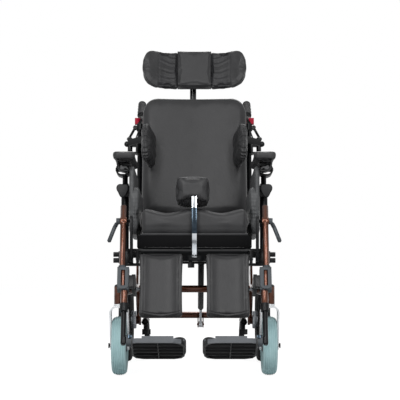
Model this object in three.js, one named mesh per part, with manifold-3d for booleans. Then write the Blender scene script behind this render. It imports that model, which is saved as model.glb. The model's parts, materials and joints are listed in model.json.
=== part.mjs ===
// Tilt in space wheelchair, in millimetres. +X is the occupant's left, -Y the front, +Z up.
// Each moving piece hangs in a group whose origin is its pivot, so the tree of groups is the mechanism.
import * as THREE from 'three';
import { mergeVertices } from 'three/addons/utils/BufferGeometryUtils.js';
import Module from 'manifold-3d';

const wasm = await Module();
wasm.setup();

// Driving dimensions shared by the whole chair
const clearance = 0.3;
const overrun = 3;
const weld = 0.001;
const tubeSides = 8;
const pinSides = 6;
const wheelSides = 20;
const bendSteps = 2;
const curveSegments = 1;
const wallPlate = 8;

// Rest angles, in degrees: seat from level, back and leg rests from the seat's own square
const seatTilt = 5;
const backLean = 10;
const legLean = 17;

const caster = {
  diameter: 200, width: 50, trail: 45, spread: 508, tyreHeight: 36, hubDiameter: 44, axle: 12,
  legThickness: 6, sideGap: 4, crownHeight: 241, crownThickness: 9, crownLength: 56, legWidth: 46,
  eyeRadius: 15, stem: 24.4, boltHead: 20, boltHeight: 4, grooves: 1, grooveDepth: 1.4, tyreEdge: 19,
  web: 12, flange: 5,
};
const rear = {
  diameter: 314, width: 44, spread: 512, tyreHeight: 38, hubDiameter: 52, axle: 12, web: 14,
  flange: 6, drumDiameter: 70, drumWidth: 15, tyreEdge: 17, nut: 24, nutHeight: 8,
};
const base = {
  wheelbase: 500, railTube: 25, railHeight: 290, railSpread: 410, headTube: 35, headLow: 245,
  headHigh: 303, capHeight: 9, lugHeight: 277, elbow: 80, kneeY: 385, bend: 45,
  crossY: 112, crossTube: 26, pivotY: 320, pivotRise: 102, pivotEye: 21, pivotFoot: 62, pivotHole: 13,
  axleTube: 25, axleTubeY: 475, axleTubeZ: 176, axleEye: 22, axleBoss: 36, pivotShaft: 16,
};
const antiTip = {
  spread: 368, height: 152, receiver: 27, tube: 22, front: 440, length: 120, straight: 600,
  reach: 692, roller: 50, rollerWidth: 22, rollerHeight: 52, pin: 10, bend: 60, knobY: 535,
  stub: 20, stubLength: 23, knob: 36, knobHeight: 20, lobes: 5, lobe: 12,
};
const seat = {
  railTube: 25, railSpread: 356, front: -345, rear: 172, frontTube: 18, crossTube: 20, midY: -259,
  panWidth: 384, panFront: -354, panRear: 80, panHeight: 40, panSkin: 4, panSkirt: 5,
  cushionWidth: 368, cushionFront: -352, cushionRear: 96, cushionHeight: 100, crown: 12, saddle: 9,
};
const recline = { y: 135, z: 62, pin: 14, eye: 17, lug: 8 };
const back = {
  canes: 414, cane: 24, caneY: 14, caneLow: 26, caneHigh: 492, handleBend: 50, handleRise: 43,
  handleLength: 168, grip: 34, gripLength: 118, gripRibs: 4, lowBar: 60, highBar: 462, bar: 20,
  shellWidth: 376, shellLow: 104, shellHigh: 500, shellThickness: 5, shellRadius: 60,
  cushionWidth: 416, cushionLow: 94, cushionHigh: 566, cushionThickness: 74, cushionRadius: 62,
  crown: 10, hornDrop: 110, hornY: 10,
};
const head = {
  stemWidth: 14, stemDepth: 8, stemY: 36, stemLow: 400, hingeZ: 690, hingeY: 20, clampHeight: 36,
  clampWidth: 34, clampDepth: 26, barrel: 16, barrelLength: 40, plate: 4, plateWidth: 104,
  plateHeight: 100, padWidth: 132, padHeight: 150, padThickness: 56, padFront: -50, wingLength: 136,
  wingHeight: 140, wingThickness: 42, wingTurn: 14, hinge: 10, padRadius: 24, wingRadius: 62,
};
const lateral = {
  clampZ: 378, block: 34, blockDepth: 30, knob: 24, knobLength: 20, arm: 5, armHeight: 24,
  padY: -155, padZ: 336, padHeight: 150, padLength: 142, padThickness: 34, padX: 172, padTurn: 10,
  swing: 10, crownShare: 0.14,
};
const lever = {
  mountZ: 466, blade: 9, out: 34, down: 46, backward: 30, ball: 15, latch: 20,
  latchLength: 24, cable: 5, pin: 6,
};
const arm = {
  postGap: 27, postY: -200, post: 20, postLow: 66, postHigh: 278, socket: 29, socketHigh: 236,
  padShift: 1, padWidth: 82, padFront: -325, padRear: -40, padHeight: 34, padTop: 346, bar: 6,
  barWidth: 32, loopWidth: 48, loopHeight: 42, loopDepth: 70, loopWall: 6, knobZ: 219, knob: 27,
  knobLobe: 11, knobHeight: 16, knobNeck: 16, bracket: 24, lobes: 3,
  crownShare: 0.12,
};
const guard = {
  gap: 8, thickness: 12, front: -286, rear: 52, low: 62, high: 304, radius: 36, padLow: 130,
  padHigh: 226, padThickness: 16, padFront: -262, padRear: 34, tab: 8, tabHeight: 26,
};
const pommel = {
  barWidth: 16, bar: 6, barTop: 206, gapToPan: 8, run: 150, barZ: -21, bend: 14, padShift: -6,
  padWidth: 116, padHeight: 98, padLength: 92, padZ: 202, clampWidth: 76, clampHeight: 24,
  clampDepth: 30, knob: 26, knobHeight: 14,
};
const hanger = {
  swingX: 222, swingY: -336, hubLow: -40, hubHigh: 0, hubDepth: 32, hubIn: 206, hubOut: 254, pin: 14,
  lug: 8, lugSize: 17, plateIn: 205, plate: 9, boltSize: 17, bolt: 18, kneeEye: 20,
};
const leg = {
  x: 236, kneeY: -390, kneeZ: 97, tube: 21, top: 54, castTop: 168, castLow: 246, castWidth: 38,
  castDepth: 34, window: 16, windowHeight: 34, lowerInset: 8, lower: 25, lowerEnd: 292, collar: 29,
  collarEnd: 316, bore: 18.8, boreTop: 206, boss: 28, pivotPin: 12,
};
const calf = {
  width: 142, height: 229, thickness: 38, x: 113, top: 100, front: 10, rodY: 66, rodZ: 215, rod: 10,
  armPlate: 12, armHeight: 50, armX: 198, lugWidth: 10, lugSize: 11, lugIn: 136, lugOut: 164,
  backPlate: 4, radius: 30, dish: 12, plateShare: 0.62,
};
const foot = {
  tube: 18, top: 226, bottom: 424, plateIn: 31, plateOut: 198, front: -118, rear: 63, level: 442,
  plate: 6, ribHeight: 9, ribs: 4, rib: 3, rim: 5, toe: 10, corner: 34, hinge: 20, hingeWidth: 22,
  hingeIn: 196, pin: 10, lip: 10,
};
const knee = { lever: 66, grip: 15, root: 22, thickness: 12, drop: 28, gap: 1 };
const tiltSpring = {
  x: 23, lowY: 465, lowZ: 142, highY: -259, highZ: -27, cylinder: 22, rod: 10, eye: 24, pin: 8,
  slack: 4, eyeWidth: 14, ear: 4, earSize: 13, cylinderShare: 0.72, rodShare: 0.55, boreShare: 0.36,
};
const reclineSpring = {
  x: -60, lowY: -251, lowZ: -46, cylinder: 22, rod: 10, eye: 26, pin: 8, slack: 5, eyeWidth: 14,
  ear: 4, earSize: 13, cylinderShare: 0.66, rodShare: 0.48, boreShare: 0.34,
};

// Sizes that follow from others
const rimDiameter = (wheel) => wheel.diameter - 2 * wheel.tyreHeight;
const pivotZ = base.railHeight + base.pivotRise;
const guardX = seat.cushionWidth / 2 + guard.gap + guard.padThickness + guard.thickness / 2;
const postX = guardX + arm.postGap;

// Finishes
const finish = (color, metalness, roughness) => () =>
  new THREE.MeshStandardMaterial({ color, metalness, roughness });
const copperPaint = finish('#7a4526', 0.6, 0.38);
const blackPaint = finish('#17181a', 0.3, 0.5);
const bareSteel = finish('#c9ccd0', 0.95, 0.24);
const greyCasting = finish('#8b8e92', 0.55, 0.5);
const leatherette = finish('#3c3d3f', 0, 0.55);
const greyRubber = finish('#94b3b7', 0, 0.75);
const blackRubber = finish('#1c1d1f', 0, 0.85);
const mouldedNylon = finish('#202226', 0, 0.6);

const radians = THREE.MathUtils.degToRad;
const at = (x, y, z) => new THREE.Vector3(x, y, z);
const evenly = (count, make) => Array.from({ length: count }, (_, i) => make(i));

// A path that steps from one listed point to the next, so that a straight run is one step
class Route extends THREE.Curve {
  constructor(points) {
    super();
    this.points = points;
    this.steps = points.length - 1;
  }

  getPointAt(u, target = at(0, 0, 0)) {
    return target.copy(this.points[Math.round(u * this.steps)]);
  }

  getTangentAt(u, target = at(0, 0, 0)) {
    const i = Math.round(u * this.steps);
    const here = this.points[i];
    const before = i > 0 ? here.clone().sub(this.points[i - 1]).normalize() : at(0, 0, 0);
    const after = i < this.steps ? this.points[i + 1].clone().sub(here).normalize() : at(0, 0, 0);
    return target.addVectors(before, after).normalize();
  }
}

// Rounds each inner corner of a path with an arc of the given bend radius
function bent(corners, radius) {
  const points = [corners[0]];
  for (let i = 1; i < corners.length - 1; i += 1) {
    const toLast = corners[i - 1].clone().sub(corners[i]);
    const toNext = corners[i + 1].clone().sub(corners[i]);
    const half = toLast.angleTo(toNext) / 2;
    const room = Math.min(toLast.length(), toNext.length()) / 2;
    const back = Math.min(radius / Math.tan(half), room);
    const start = corners[i].clone().addScaledVector(toLast.normalize(), back);
    const end = corners[i].clone().addScaledVector(toNext.normalize(), back);
    const middle = toLast.add(toNext).normalize();
    const centre = corners[i].clone().addScaledVector(middle, back / Math.cos(half));
    const spoke = start.clone().sub(centre);
    const axis = spoke.clone().cross(end.clone().sub(centre)).normalize();
    const sweep = Math.PI - 2 * half;
    points.push(...evenly(bendSteps + 1, (k) =>
      spoke.clone().applyAxisAngle(axis, (sweep * k) / bendSteps).add(centre)));
  }
  return [...points, corners[corners.length - 1]];
}

// Solids
function circle(radius, sides = tubeSides) {
  const turn = (2 * Math.PI) / sides;
  return new THREE.Shape(evenly(sides, (i) => new THREE.Vector2(
    radius * Math.cos(turn * i), radius * Math.sin(turn * i))));
}

function tube(points, diameter, sides = tubeSides) {
  const extrudePath = new Route(points);
  return new THREE.ExtrudeGeometry(circle(diameter / 2, sides), { steps: extrudePath.steps, extrudePath });
}

// A hole round a turning pin: its flats clear the pin by the full clearance
function pinHole(points, pin, sides = pinSides) {
  return tube(points, (pin + 2 * clearance) / Math.cos(Math.PI / sides), sides);
}

function box(width, depth, height, centre) {
  return new THREE.BoxGeometry(width, depth, height).translate(centre.x, centre.y, centre.z);
}

// A flat outline drawn in X and Y, from z upwards
function slab(shape, thickness, z = 0) {
  return new THREE.ExtrudeGeometry(shape, { depth: thickness, bevelEnabled: false, curveSegments })
    .translate(0, 0, z);
}

// A flat outline drawn in Y and Z, as thick as stated, centred on x
function sidePlate(shape, thickness, x) {
  const plate = slab(shape, thickness);
  const upright = new THREE.Matrix4().makeBasis(at(0, 1, 0), at(0, 0, 1), at(1, 0, 0));
  return plate.applyMatrix4(upright).translate(x - thickness / 2, 0, 0);
}

// A flat outline drawn in X and Z, from y onwards towards the back
function frontPlate(shape, thickness, y) {
  return slab(shape, thickness).rotateX(Math.PI / 2).translate(0, y + thickness, 0);
}

// A profile of [radius, place along the axis] pairs turned about an axis that runs along X
function turnedAlongX(profile, sides, centre) {
  const points = profile.map(([radius, along]) => new THREE.Vector2(radius, along));
  return new THREE.LatheGeometry(points, sides, Math.PI / sides).rotateZ(-Math.PI / 2)
    .translate(...centre.toArray());
}

function turnedUpright(profile, sides, centre) {
  const points = profile.map(([radius, along]) => new THREE.Vector2(radius, along));
  return new THREE.LatheGeometry(points, sides).rotateX(Math.PI / 2).translate(...centre.toArray());
}

// Two round eyes joined by their outer tangents, in any plane
function strap(a, radiusA, b, radiusB) {
  const along = Math.atan2(b.y - a.y, b.x - a.x);
  const spread = Math.acos((radiusA - radiusB) / a.distanceTo(b));
  const opposite = along + Math.PI;
  const shape = new THREE.Shape();
  shape.absarc(b.x, b.y, radiusB, along - spread, along, false);
  shape.absarc(b.x, b.y, radiusB, along, along + spread, false);
  shape.absarc(a.x, a.y, radiusA, along + spread, opposite, false);
  shape.absarc(a.x, a.y, radiusA, opposite, along - spread + 2 * Math.PI, false);
  return shape;
}

function roundedRectangle(width, height, radius) {
  const [x, y] = [width / 2 - radius, height / 2 - radius];
  const shape = new THREE.Shape();
  shape.absarc(x, y, radius, 0, Math.PI / 2, false);
  shape.absarc(-x, y, radius, Math.PI / 2, Math.PI, false);
  shape.absarc(-x, -y, radius, Math.PI, 1.5 * Math.PI, false);
  shape.absarc(x, -y, radius, 1.5 * Math.PI, 2 * Math.PI, false);
  return shape;
}

// Straight along one side, fully round at the other, as a wing or a side pad is
function rounded(width, height, near, far) {
  const shape = new THREE.Shape();
  shape.absarc(width / 2 - far, height / 2 - far, far, 0, Math.PI / 2, false);
  shape.absarc(-width / 2 + near, height / 2 - near, near, Math.PI / 2, Math.PI, false);
  shape.absarc(-width / 2 + near, -height / 2 + near, near, Math.PI, 1.5 * Math.PI, false);
  shape.absarc(width / 2 - far, -height / 2 + far, far, 1.5 * Math.PI, 2 * Math.PI, false);
  return shape;
}

// A knob's outline: a round body with lobes standing round it
function lobed(radius, lobeRadius, lobes) {
  const shape = new THREE.Shape();
  const reach = radius - lobeRadius;
  const steps = lobes * 3;
  const points = evenly(steps, (i) => {
    const angle = (2 * Math.PI * i) / steps;
    const r = reach + lobeRadius * (1 + Math.cos(lobes * angle)) / 2;
    return new THREE.Vector2(r * Math.cos(angle), r * Math.sin(angle));
  });
  shape.setFromPoints(points);
  return shape;
}

// A padded form: an outline in X and Y, rounded over at its rim and crowned in the middle, centred on Z
function pad(outline, thickness, { edge, crown, points = 32, rims = 3, rings = 3, shape = (v) => v }) {
  const rim = outline.getSpacedPoints(points).slice(0, points);
  const inset = (p, by) => new THREE.Vector2(
    Math.sign(p.x) * Math.max(Math.abs(p.x) - by, 0), Math.sign(p.y) * Math.max(Math.abs(p.y) - by, 0));
  const halfEdge = thickness / 2 - crown;
  const rows = [];
  for (let k = 0; k <= rims; k += 1) {
    const angle = (Math.PI / 2) * (k / rims);
    rows.push({ by: edge * (1 - Math.cos(angle)), share: 1, height: halfEdge * Math.sin(angle) });
  }
  for (let k = 1; k < rings; k += 1) {
    const share = 1 - k / rings;
    rows.push({ by: edge, share, height: halfEdge + crown * (1 - share * share) });
  }
  const positions = [];
  const addRow = ({ by, share, height }, side) => rim.forEach((p) => {
    const q = inset(p, by).multiplyScalar(share);
    positions.push(...shape(at(q.x, q.y, side * height)).toArray());
  });
  const below = [...rows].slice(1).reverse();
  below.forEach((row) => addRow(row, -1));
  rows.forEach((row) => addRow(row, 1));
  const count = below.length + rows.length;
  positions.push(...shape(at(0, 0, -thickness / 2)).toArray(), ...shape(at(0, 0, thickness / 2)).toArray());
  const [bottom, top] = [count * points, count * points + 1];
  const faces = [];
  for (let i = 0; i < points; i += 1) {
    const next = (i + 1) % points;
    faces.push(bottom, next, i);
    for (let row = 0; row < count - 1; row += 1) {
      const [a, b] = [row * points + i, row * points + next];
      faces.push(a, b, b + points, a, b + points, a + points);
    }
    faces.push(top, (count - 1) * points + i, (count - 1) * points + next);
  }
  const geometry = new THREE.BufferGeometry();
  geometry.setAttribute('position', new THREE.Float32BufferAttribute(positions, 3));
  geometry.setIndex(faces);
  return geometry;
}

// Joins and cuts
function solid(geometry) {
  const bare = new THREE.BufferGeometry();
  bare.setAttribute('position', geometry.getAttribute('position').clone());
  if (geometry.index) bare.setIndex(geometry.index.clone());
  const merged = mergeVertices(bare, weld);
  const corners = merged.index.array;
  const kept = [];
  for (let i = 0; i < corners.length; i += 3) {
    const [a, b, c] = [corners[i], corners[i + 1], corners[i + 2]];
    if (a !== b && b !== c && c !== a) kept.push(a, b, c);
  }
  return new wasm.Manifold(new wasm.Mesh({
    numProp: 3,
    vertProperties: new Float32Array(merged.getAttribute('position').array),
    triVerts: new Uint32Array(kept),
  }));
}

function geometryOf(manifold) {
  const mesh = manifold.getMesh();
  const geometry = new THREE.BufferGeometry();
  geometry.setAttribute('position', new THREE.BufferAttribute(new Float32Array(mesh.vertProperties), 3));
  geometry.setIndex(new THREE.BufferAttribute(new Uint32Array(mesh.triVerts), 1));
  return geometry;
}

const join = (...pieces) => geometryOf(pieces.map(solid).reduce((a, b) => a.add(b)));
const cut = (body, ...tools) => geometryOf(tools.map(solid).reduce((a, b) => a.subtract(b), solid(body)));

// The same piece for the other side of the chair
function mirrored(geometry) {
  const copy = geometryOf(solid(geometry)).applyMatrix4(new THREE.Matrix4().makeScale(-1, 1, 1));
  const faces = copy.index.array;
  for (let i = 0; i < faces.length; i += 3) [faces[i], faces[i + 1]] = [faces[i + 1], faces[i]];
  return copy;
}

function add(group, name, geometry, material) {
  geometry.computeVertexNormals();
  const mesh = new THREE.Mesh(geometry, material());
  mesh.name = name;
  group.add(mesh);
}

function pivot(parent, name, x, y, z, lean = 0) {
  const group = new THREE.Group();
  group.name = name;
  group.position.set(x, y, z);
  group.rotation.x = -radians(lean);
  parent.add(group);
  return group;
}

const sides = [{ name: 'left', sign: 1 }, { name: 'right', sign: -1 }];
const forSide = (geometry, side) => (side.sign > 0 ? geometry.clone() : mirrored(geometry));

// Wheels: profiles run from the inner face to the outer one. A tyre's facets lie at its real radius,
// so that it stands on one of them
function tyre(wheel, grooves, depth) {
  const radius = wheel.diameter / 2 / Math.cos(Math.PI / wheelSides);
  const [half, seat] = [wheel.width / 2, rimDiameter(wheel) / 2 + clearance];
  const shoulder = half - wheel.tyreEdge * 0.35;
  const steps = grooves * 3 + 1;
  const tread = evenly(steps + 1, (i) => [
    i % 3 === 2 ? radius - depth : radius, shoulder * 1.2 * (i / steps - 0.5)]);
  const bead = half * 0.62;
  const outline = [
    [seat, -bead], [(seat + radius) / 2, -half], [radius - wheel.tyreEdge * 0.3, -shoulder],
    ...tread,
    [radius - wheel.tyreEdge * 0.3, shoulder], [(seat + radius) / 2, half], [seat, bead], [seat, -bead],
  ];
  return turnedAlongX(outline, wheelSides, at(0, 0, 0));
}

function rim(wheel, windows, drum) {
  const radius = rimDiameter(wheel) / 2;
  const [bead, hub] = [wheel.width * 0.31, wheel.hubDiameter / 2];
  const inner = radius - wheel.flange;
  const ring = [[inner, -bead], [radius, -bead], [radius, bead], [inner, bead], [inner, -bead]];
  const hubHalf = wheel.width / 2;
  const core = [[0, -hubHalf], [hub, -hubHalf], [hub * 0.85, hubHalf], [0, hubHalf]];
  const web = circle(inner + wheel.flange / 2, wheelSides);
  const [near, far] = [hub + wheel.flange, inner - wheel.flange];
  evenly(windows, (i) => {
    const start = (2 * Math.PI * i) / windows;
    const wide = (2 * Math.PI / windows) * 0.66;
    const onArc = (radius, share) => new THREE.Vector2(
      radius * Math.cos(start + wide * share), radius * Math.sin(start + wide * share));
    const hole = [onArc(near, 0.7), onArc(near, 0.3), onArc(far, 0), onArc(far, 1)];
    return web.holes.push(new THREE.Path(hole));
  });
  const parts = [turnedAlongX(ring, wheelSides, at(0, 0, 0)), turnedAlongX(core, tubeSides, at(0, 0, 0)),
    sidePlate(web, wheel.web, 0)];
  if (drum) {
    const r = rear.drumDiameter / 2;
    const shell = [[0, -hubHalf - rear.drumWidth], [r, -hubHalf - rear.drumWidth], [r, -hubHalf + overrun],
      [0, -hubHalf + overrun]];
    parts.push(turnedAlongX(shell, tubeSides, at(0, 0, 0)));
  }
  const reach = hubHalf + rear.drumWidth + overrun;
  return cut(join(...parts), pinHole([at(-reach, 0, 0), at(reach, 0, 0)], wheel.axle, tubeSides));
}

function casterFork() {
  const half = caster.width / 2 + caster.sideGap + caster.legThickness / 2;
  const [axleY, axleZ] = [caster.trail, caster.diameter / 2 - caster.crownHeight];
  const crown = new THREE.Vector2(0, -caster.legWidth / 2);
  const outline = strap(new THREE.Vector2(axleY, axleZ), caster.eyeRadius, crown, caster.legWidth / 2);
  const legs = [-half, half].map((x) => sidePlate(outline, caster.legThickness, x));
  const width = 2 * half + caster.legThickness;
  const plate = roundedRectangle(width, caster.crownLength, caster.legWidth / 3);
  const crownPlate = slab(plate, caster.crownThickness, -caster.crownThickness);
  const stemTop = base.headHigh - caster.crownHeight - clearance;
  const stem = tube([at(0, 0, -caster.crownThickness / 2), at(0, 0, stemTop)], caster.stem, tubeSides);
  const washer = tube([at(0, 0, -caster.crownThickness / 2), at(0, 0, base.headLow - caster.crownHeight
    - clearance)], base.headTube, tubeSides);
  const reach = half + caster.legThickness / 2 + caster.boltHeight;
  const bolt = tube([at(-reach, axleY, axleZ), at(reach, axleY, axleZ)], caster.axle);
  const heads = [-1, 1].map((s) => tube([
    at(s * (reach - caster.boltHeight), axleY, axleZ), at(s * reach, axleY, axleZ)], caster.boltHead, 6));
  return join(...legs, crownPlate, stem, washer, bolt, ...heads);
}

// Base frame
function baseSide() {
  const [headX, railX] = [caster.spread / 2, base.railSpread / 2];
  const rail = tube(bent([
    at(headX, 0, base.lugHeight), at(railX, base.elbow, base.railHeight),
    at(railX, base.kneeY, base.railHeight), at(railX, base.axleTubeY, base.axleTubeZ),
  ], base.bend), base.railTube);
  const outer = base.headTube / 2;
  const top = base.headHigh + base.capHeight;
  const headShell = [[0, base.headLow], [outer, base.headLow], [outer, base.headHigh],
    [outer * 0.8, base.headHigh + base.capHeight * 0.7], [0, top]];
  const headTube = turnedUpright(headShell, tubeSides, at(headX, 0, 0));
  const bore = pinHole([at(headX, 0, base.headLow - overrun), at(headX, 0, base.headHigh)],
    caster.stem, tubeSides);
  const axle = new THREE.Vector2(base.wheelbase, rear.diameter / 2);
  const dropout = strap(new THREE.Vector2(base.axleTubeY, base.axleTubeZ), base.axleEye, axle, base.axleEye);
  const bossEnd = rear.spread / 2 - rear.width / 2 - rear.drumWidth - clearance;
  const boss = tube([at(railX, axle.x, axle.y), at(bossEnd, axle.x, axle.y)], base.axleBoss, tubeSides);
  const wheelFace = rear.spread / 2 + rear.width / 2 + clearance;
  const stubEnd = wheelFace + rear.nutHeight / 2;
  const stub = tube([at(railX, axle.x, axle.y), at(stubEnd, axle.x, axle.y)], rear.axle);
  const nut = tube([at(wheelFace, axle.x, axle.y), at(wheelFace + rear.nutHeight, axle.x, axle.y)],
    rear.nut, 6);
  return cut(join(rail, headTube, tiltUpright(railX), sidePlate(dropout, wallPlate, railX), boss, stub, nut),
    bore, pivotBore(railX));
}

// Pressed side plate that carries the seat's tilt shaft, with a lightening hole
function tiltUpright(x) {
  const shape = new THREE.Shape();
  shape.moveTo(base.pivotY - base.pivotFoot, base.railHeight);
  shape.lineTo(base.pivotY + base.pivotFoot, base.railHeight);
  shape.absarc(base.pivotY, pivotZ, base.pivotEye, Math.PI / 8, Math.PI / 2, false);
  shape.absarc(base.pivotY, pivotZ, base.pivotEye, Math.PI / 2, Math.PI * 7 / 8, false);
  const hole = circle(base.pivotHole).getPoints().map((p) => p.add(new THREE.Vector2(base.pivotY,
    (base.railHeight + pivotZ) / 2)));
  shape.holes.push(new THREE.Path(hole));
  return sidePlate(shape, wallPlate, x);
}

function pivotBore(x) {
  return pinHole([at(x - wallPlate, base.pivotY, pivotZ), at(x + wallPlate, base.pivotY, pivotZ)],
    base.pivotShaft, tubeSides);
}

function crossTube() {
  const reach = base.railSpread / 2 - base.railTube / 2 - clearance;
  return tube([at(-reach, base.crossY, base.railHeight), at(reach, base.crossY, base.railHeight)],
    base.crossTube, tubeSides);
}

// Two ears that hold a spring's pin, hung from the middle of a cross tube
function springEars(spring, from, pin) {
  const shape = strap(from, spring.earSize, pin, spring.earSize);
  const offset = spring.eyeWidth / 2 + spring.ear / 2 + 1.5 * clearance;
  const ears = [-offset, offset].map((dx) => sidePlate(shape, spring.ear, spring.x + dx));
  const reach = offset + spring.ear;
  return join(...ears, tube([at(spring.x - reach, pin.x, pin.y), at(spring.x + reach, pin.x, pin.y)],
    spring.pin, pinSides));
}

function rearAxleTube() {
  const reach = base.railSpread / 2 - base.railTube / 2 - clearance;
  const across = tube([at(-reach, base.axleTubeY, base.axleTubeZ),
    at(reach, base.axleTubeY, base.axleTubeZ)], base.axleTube, tubeSides);
  const parts = [across, springEars(tiltSpring, new THREE.Vector2(base.axleTubeY, base.axleTubeZ),
    new THREE.Vector2(tiltSpring.lowY, tiltSpring.lowZ))];
  const bores = [];
  sides.forEach(({ sign }) => {
    const x = sign * antiTip.spread / 2;
    const [start, end] = [antiTip.front, antiTip.front + antiTip.length];
    parts.push(tube([at(x, start, antiTip.height), at(x, end, antiTip.height)], antiTip.receiver));
    bores.push(tube([at(x, start - overrun, antiTip.height), at(x, end + overrun, antiTip.height)],
      antiTip.tube + 2 * clearance));
    const low = antiTip.height - antiTip.receiver / 2;
    const stub = tube([at(x, antiTip.knobY, antiTip.height - antiTip.tube / 2 - 2 * clearance),
      at(x, antiTip.knobY, low - antiTip.stubLength)], antiTip.stub);
    const knob = slab(lobed(antiTip.knob / 2, antiTip.lobe / 2, antiTip.lobes), antiTip.knobHeight)
      .translate(x, antiTip.knobY, low - antiTip.stubLength - antiTip.knobHeight + overrun);
    parts.push(stub, knob);
  });
  return cut(join(...parts), ...bores);
}

function antiTipTube() {
  const x = antiTip.spread / 2;
  const end = at(x, antiTip.reach, antiTip.rollerHeight);
  const arm = tube(bent([at(x, antiTip.front + antiTip.tube, antiTip.height),
    at(x, antiTip.straight, antiTip.height), end], antiTip.bend), antiTip.tube);
  const inboard = x - antiTip.tube / 2 - antiTip.rollerWidth - 3 * clearance;
  const pin = tube([at(x, end.y, end.z), at(inboard - antiTip.pin / 2, end.y, end.z)], antiTip.pin,
    pinSides);
  const head = tube([at(inboard, end.y, end.z), at(inboard - antiTip.pin / 2, end.y, end.z)],
    antiTip.pin * 1.7, pinSides);
  const eye = tube([at(x - antiTip.tube / 2, end.y, end.z), at(x + antiTip.tube / 2, end.y, end.z)],
    antiTip.tube * 1.3, tubeSides);
  return join(arm, pin, head, eye);
}

function antiTipRoller() {
  const [r, half] = [antiTip.roller / 2, antiTip.rollerWidth / 2];
  const wheel = turnedAlongX([[0, -half], [r * 0.85, -half], [r, -half * 0.6], [r, half * 0.6],
    [r * 0.85, half], [0, half]], tubeSides, at(0, 0, 0));
  return cut(wheel, pinHole([at(-half - overrun, 0, 0), at(half + overrun, 0, 0)], antiTip.pin));
}

// Gas springs: geometry lies along Z with the pinned end at the origin
function springRod(spring, length) {
  const [eyeR, half] = [spring.eye / 2, spring.eyeWidth / 2];
  const eye = tube([at(-half, 0, 0), at(half, 0, 0)], 2 * eyeR, tubeSides);
  const shaft = tube([at(0, 0, 0), at(0, 0, length * spring.rodShare)], spring.rod);
  return cut(join(eye, shaft), pinHole([at(-half - overrun, 0, 0), at(half + overrun, 0, 0)], spring.pin));
}

function springCylinder(spring, length) {
  const [eyeR, half] = [spring.eye / 2, spring.eyeWidth / 2];
  const top = spring.earSize + 4 * clearance;
  const body = tube([at(0, 0, -length * spring.cylinderShare), at(0, 0, -top)], spring.cylinder, tubeSides);
  const neck = tube([at(0, 0, -top - overrun), at(0, 0, -spring.pin)], spring.cylinder * 0.6);
  const eye = tube([at(-half, 0, 0), at(half, 0, 0)], 2 * eyeR, tubeSides);
  const bore = tube([at(-half - overrun, 0, 0), at(half + overrun, 0, 0)], spring.pin + 2 * spring.slack,
    tubeSides);
  const inside = tube([at(0, 0, -length * spring.cylinderShare - overrun),
    at(0, 0, -length * spring.boreShare)], spring.rod + 2 * clearance);
  return cut(join(body, neck, eye), bore, inside);
}

// Seat frame with everything welded or bolted to it
function seatFrame() {
  const railX = seat.railSpread / 2;
  const across = (y, reach, diameter) => tube([at(-reach, y, 0), at(reach, y, 0)], diameter);
  const parts = [
    across(seat.front, railX, seat.frontTube), across(seat.midY, railX, seat.crossTube),
    across(0, railX, seat.crossTube), across(seat.rear, railX, seat.crossTube),
    tube([at(-base.railSpread / 2 - wallPlate, 0, 0), at(base.railSpread / 2 + wallPlate, 0, 0)],
      base.pivotShaft, tubeSides),
    springEars(tiltSpring, new THREE.Vector2(seat.midY, 0),
      new THREE.Vector2(tiltSpring.highY, tiltSpring.highZ)),
    springEars(reclineSpring, new THREE.Vector2(seat.midY, 0),
      new THREE.Vector2(reclineSpring.lowY, reclineSpring.lowZ)),
    abductorClamp(),
  ];
  const tools = [abductorSlot()];
  sides.forEach((side) => {
    const { body, bores } = seatFrameSide();
    parts.push(forSide(body, side));
    tools.push(...bores.map((bore) => forSide(bore, side)));
  });
  return cut(join(...parts), ...tools);
}

function seatFrameSide() {
  const railX = seat.railSpread / 2;
  const rail = tube([at(railX, seat.front, 0), at(railX, seat.rear, 0)], seat.railTube);
  const pin = new THREE.Vector2(recline.y, recline.z);
  const lug = sidePlate(strap(new THREE.Vector2(recline.y, 0), recline.eye, pin, recline.eye), recline.lug,
    railX);
  const pinEnd = back.canes / 2 + recline.lug / 2;
  const pivotPin = tube([at(railX, pin.x, pin.y), at(pinEnd, pin.x, pin.y)], recline.pin, pinSides);
  const armBracket = box(postX - railX, arm.bracket, arm.bracket,
    at((postX + railX) / 2, arm.postY, 0));
  const socket = tube([at(postX, arm.postY, -arm.bracket / 2), at(postX, arm.postY, arm.socketHigh)],
    arm.socket, tubeSides);
  const knobFace = arm.postY - arm.socket / 2 - arm.knobNeck;
  const neck = tube([at(postX, arm.postY - arm.post / 2 - 2 * clearance, arm.knobZ),
    at(postX, knobFace, arm.knobZ)], arm.knobNeck);
  const knob = frontPlate(lobed(arm.knob, arm.knobLobe, arm.lobes), arm.knobHeight,
    knobFace - arm.knobHeight + overrun).translate(postX, 0, arm.knobZ);
  const postBore = tube([at(postX, arm.postY, arm.postLow - arm.bracket), at(postX, arm.postY,
    arm.socketHigh + overrun)], arm.post + 2 * clearance, tubeSides);
  const lugs = [hanger.hubHigh + clearance, hanger.hubLow - clearance - hanger.lug].map((z) => {
    const eye = strap(new THREE.Vector2(railX, hanger.swingY), hanger.lugSize,
      new THREE.Vector2(hanger.swingX, hanger.swingY), hanger.lugSize);
    return slab(eye, hanger.lug, z);
  });
  const cheekX = railX + seat.railTube / 2;
  const cheekLow = hanger.hubLow - clearance - hanger.lug;
  const cheekHigh = hanger.hubHigh + clearance + hanger.lug;
  const cheek = box(hanger.plate, 2 * hanger.lugSize, cheekHigh - cheekLow,
    at(cheekX, hanger.swingY, (cheekLow + cheekHigh) / 2));
  const swingBore = pinHole([at(hanger.swingX, hanger.swingY, cheekLow - overrun),
    at(hanger.swingX, hanger.swingY, cheekHigh + overrun)], hanger.pin);
  return {
    body: join(rail, lug, pivotPin, armBracket, socket, neck, knob, ...lugs, cheek),
    bores: [postBore, swingBore],
  };
}

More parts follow.
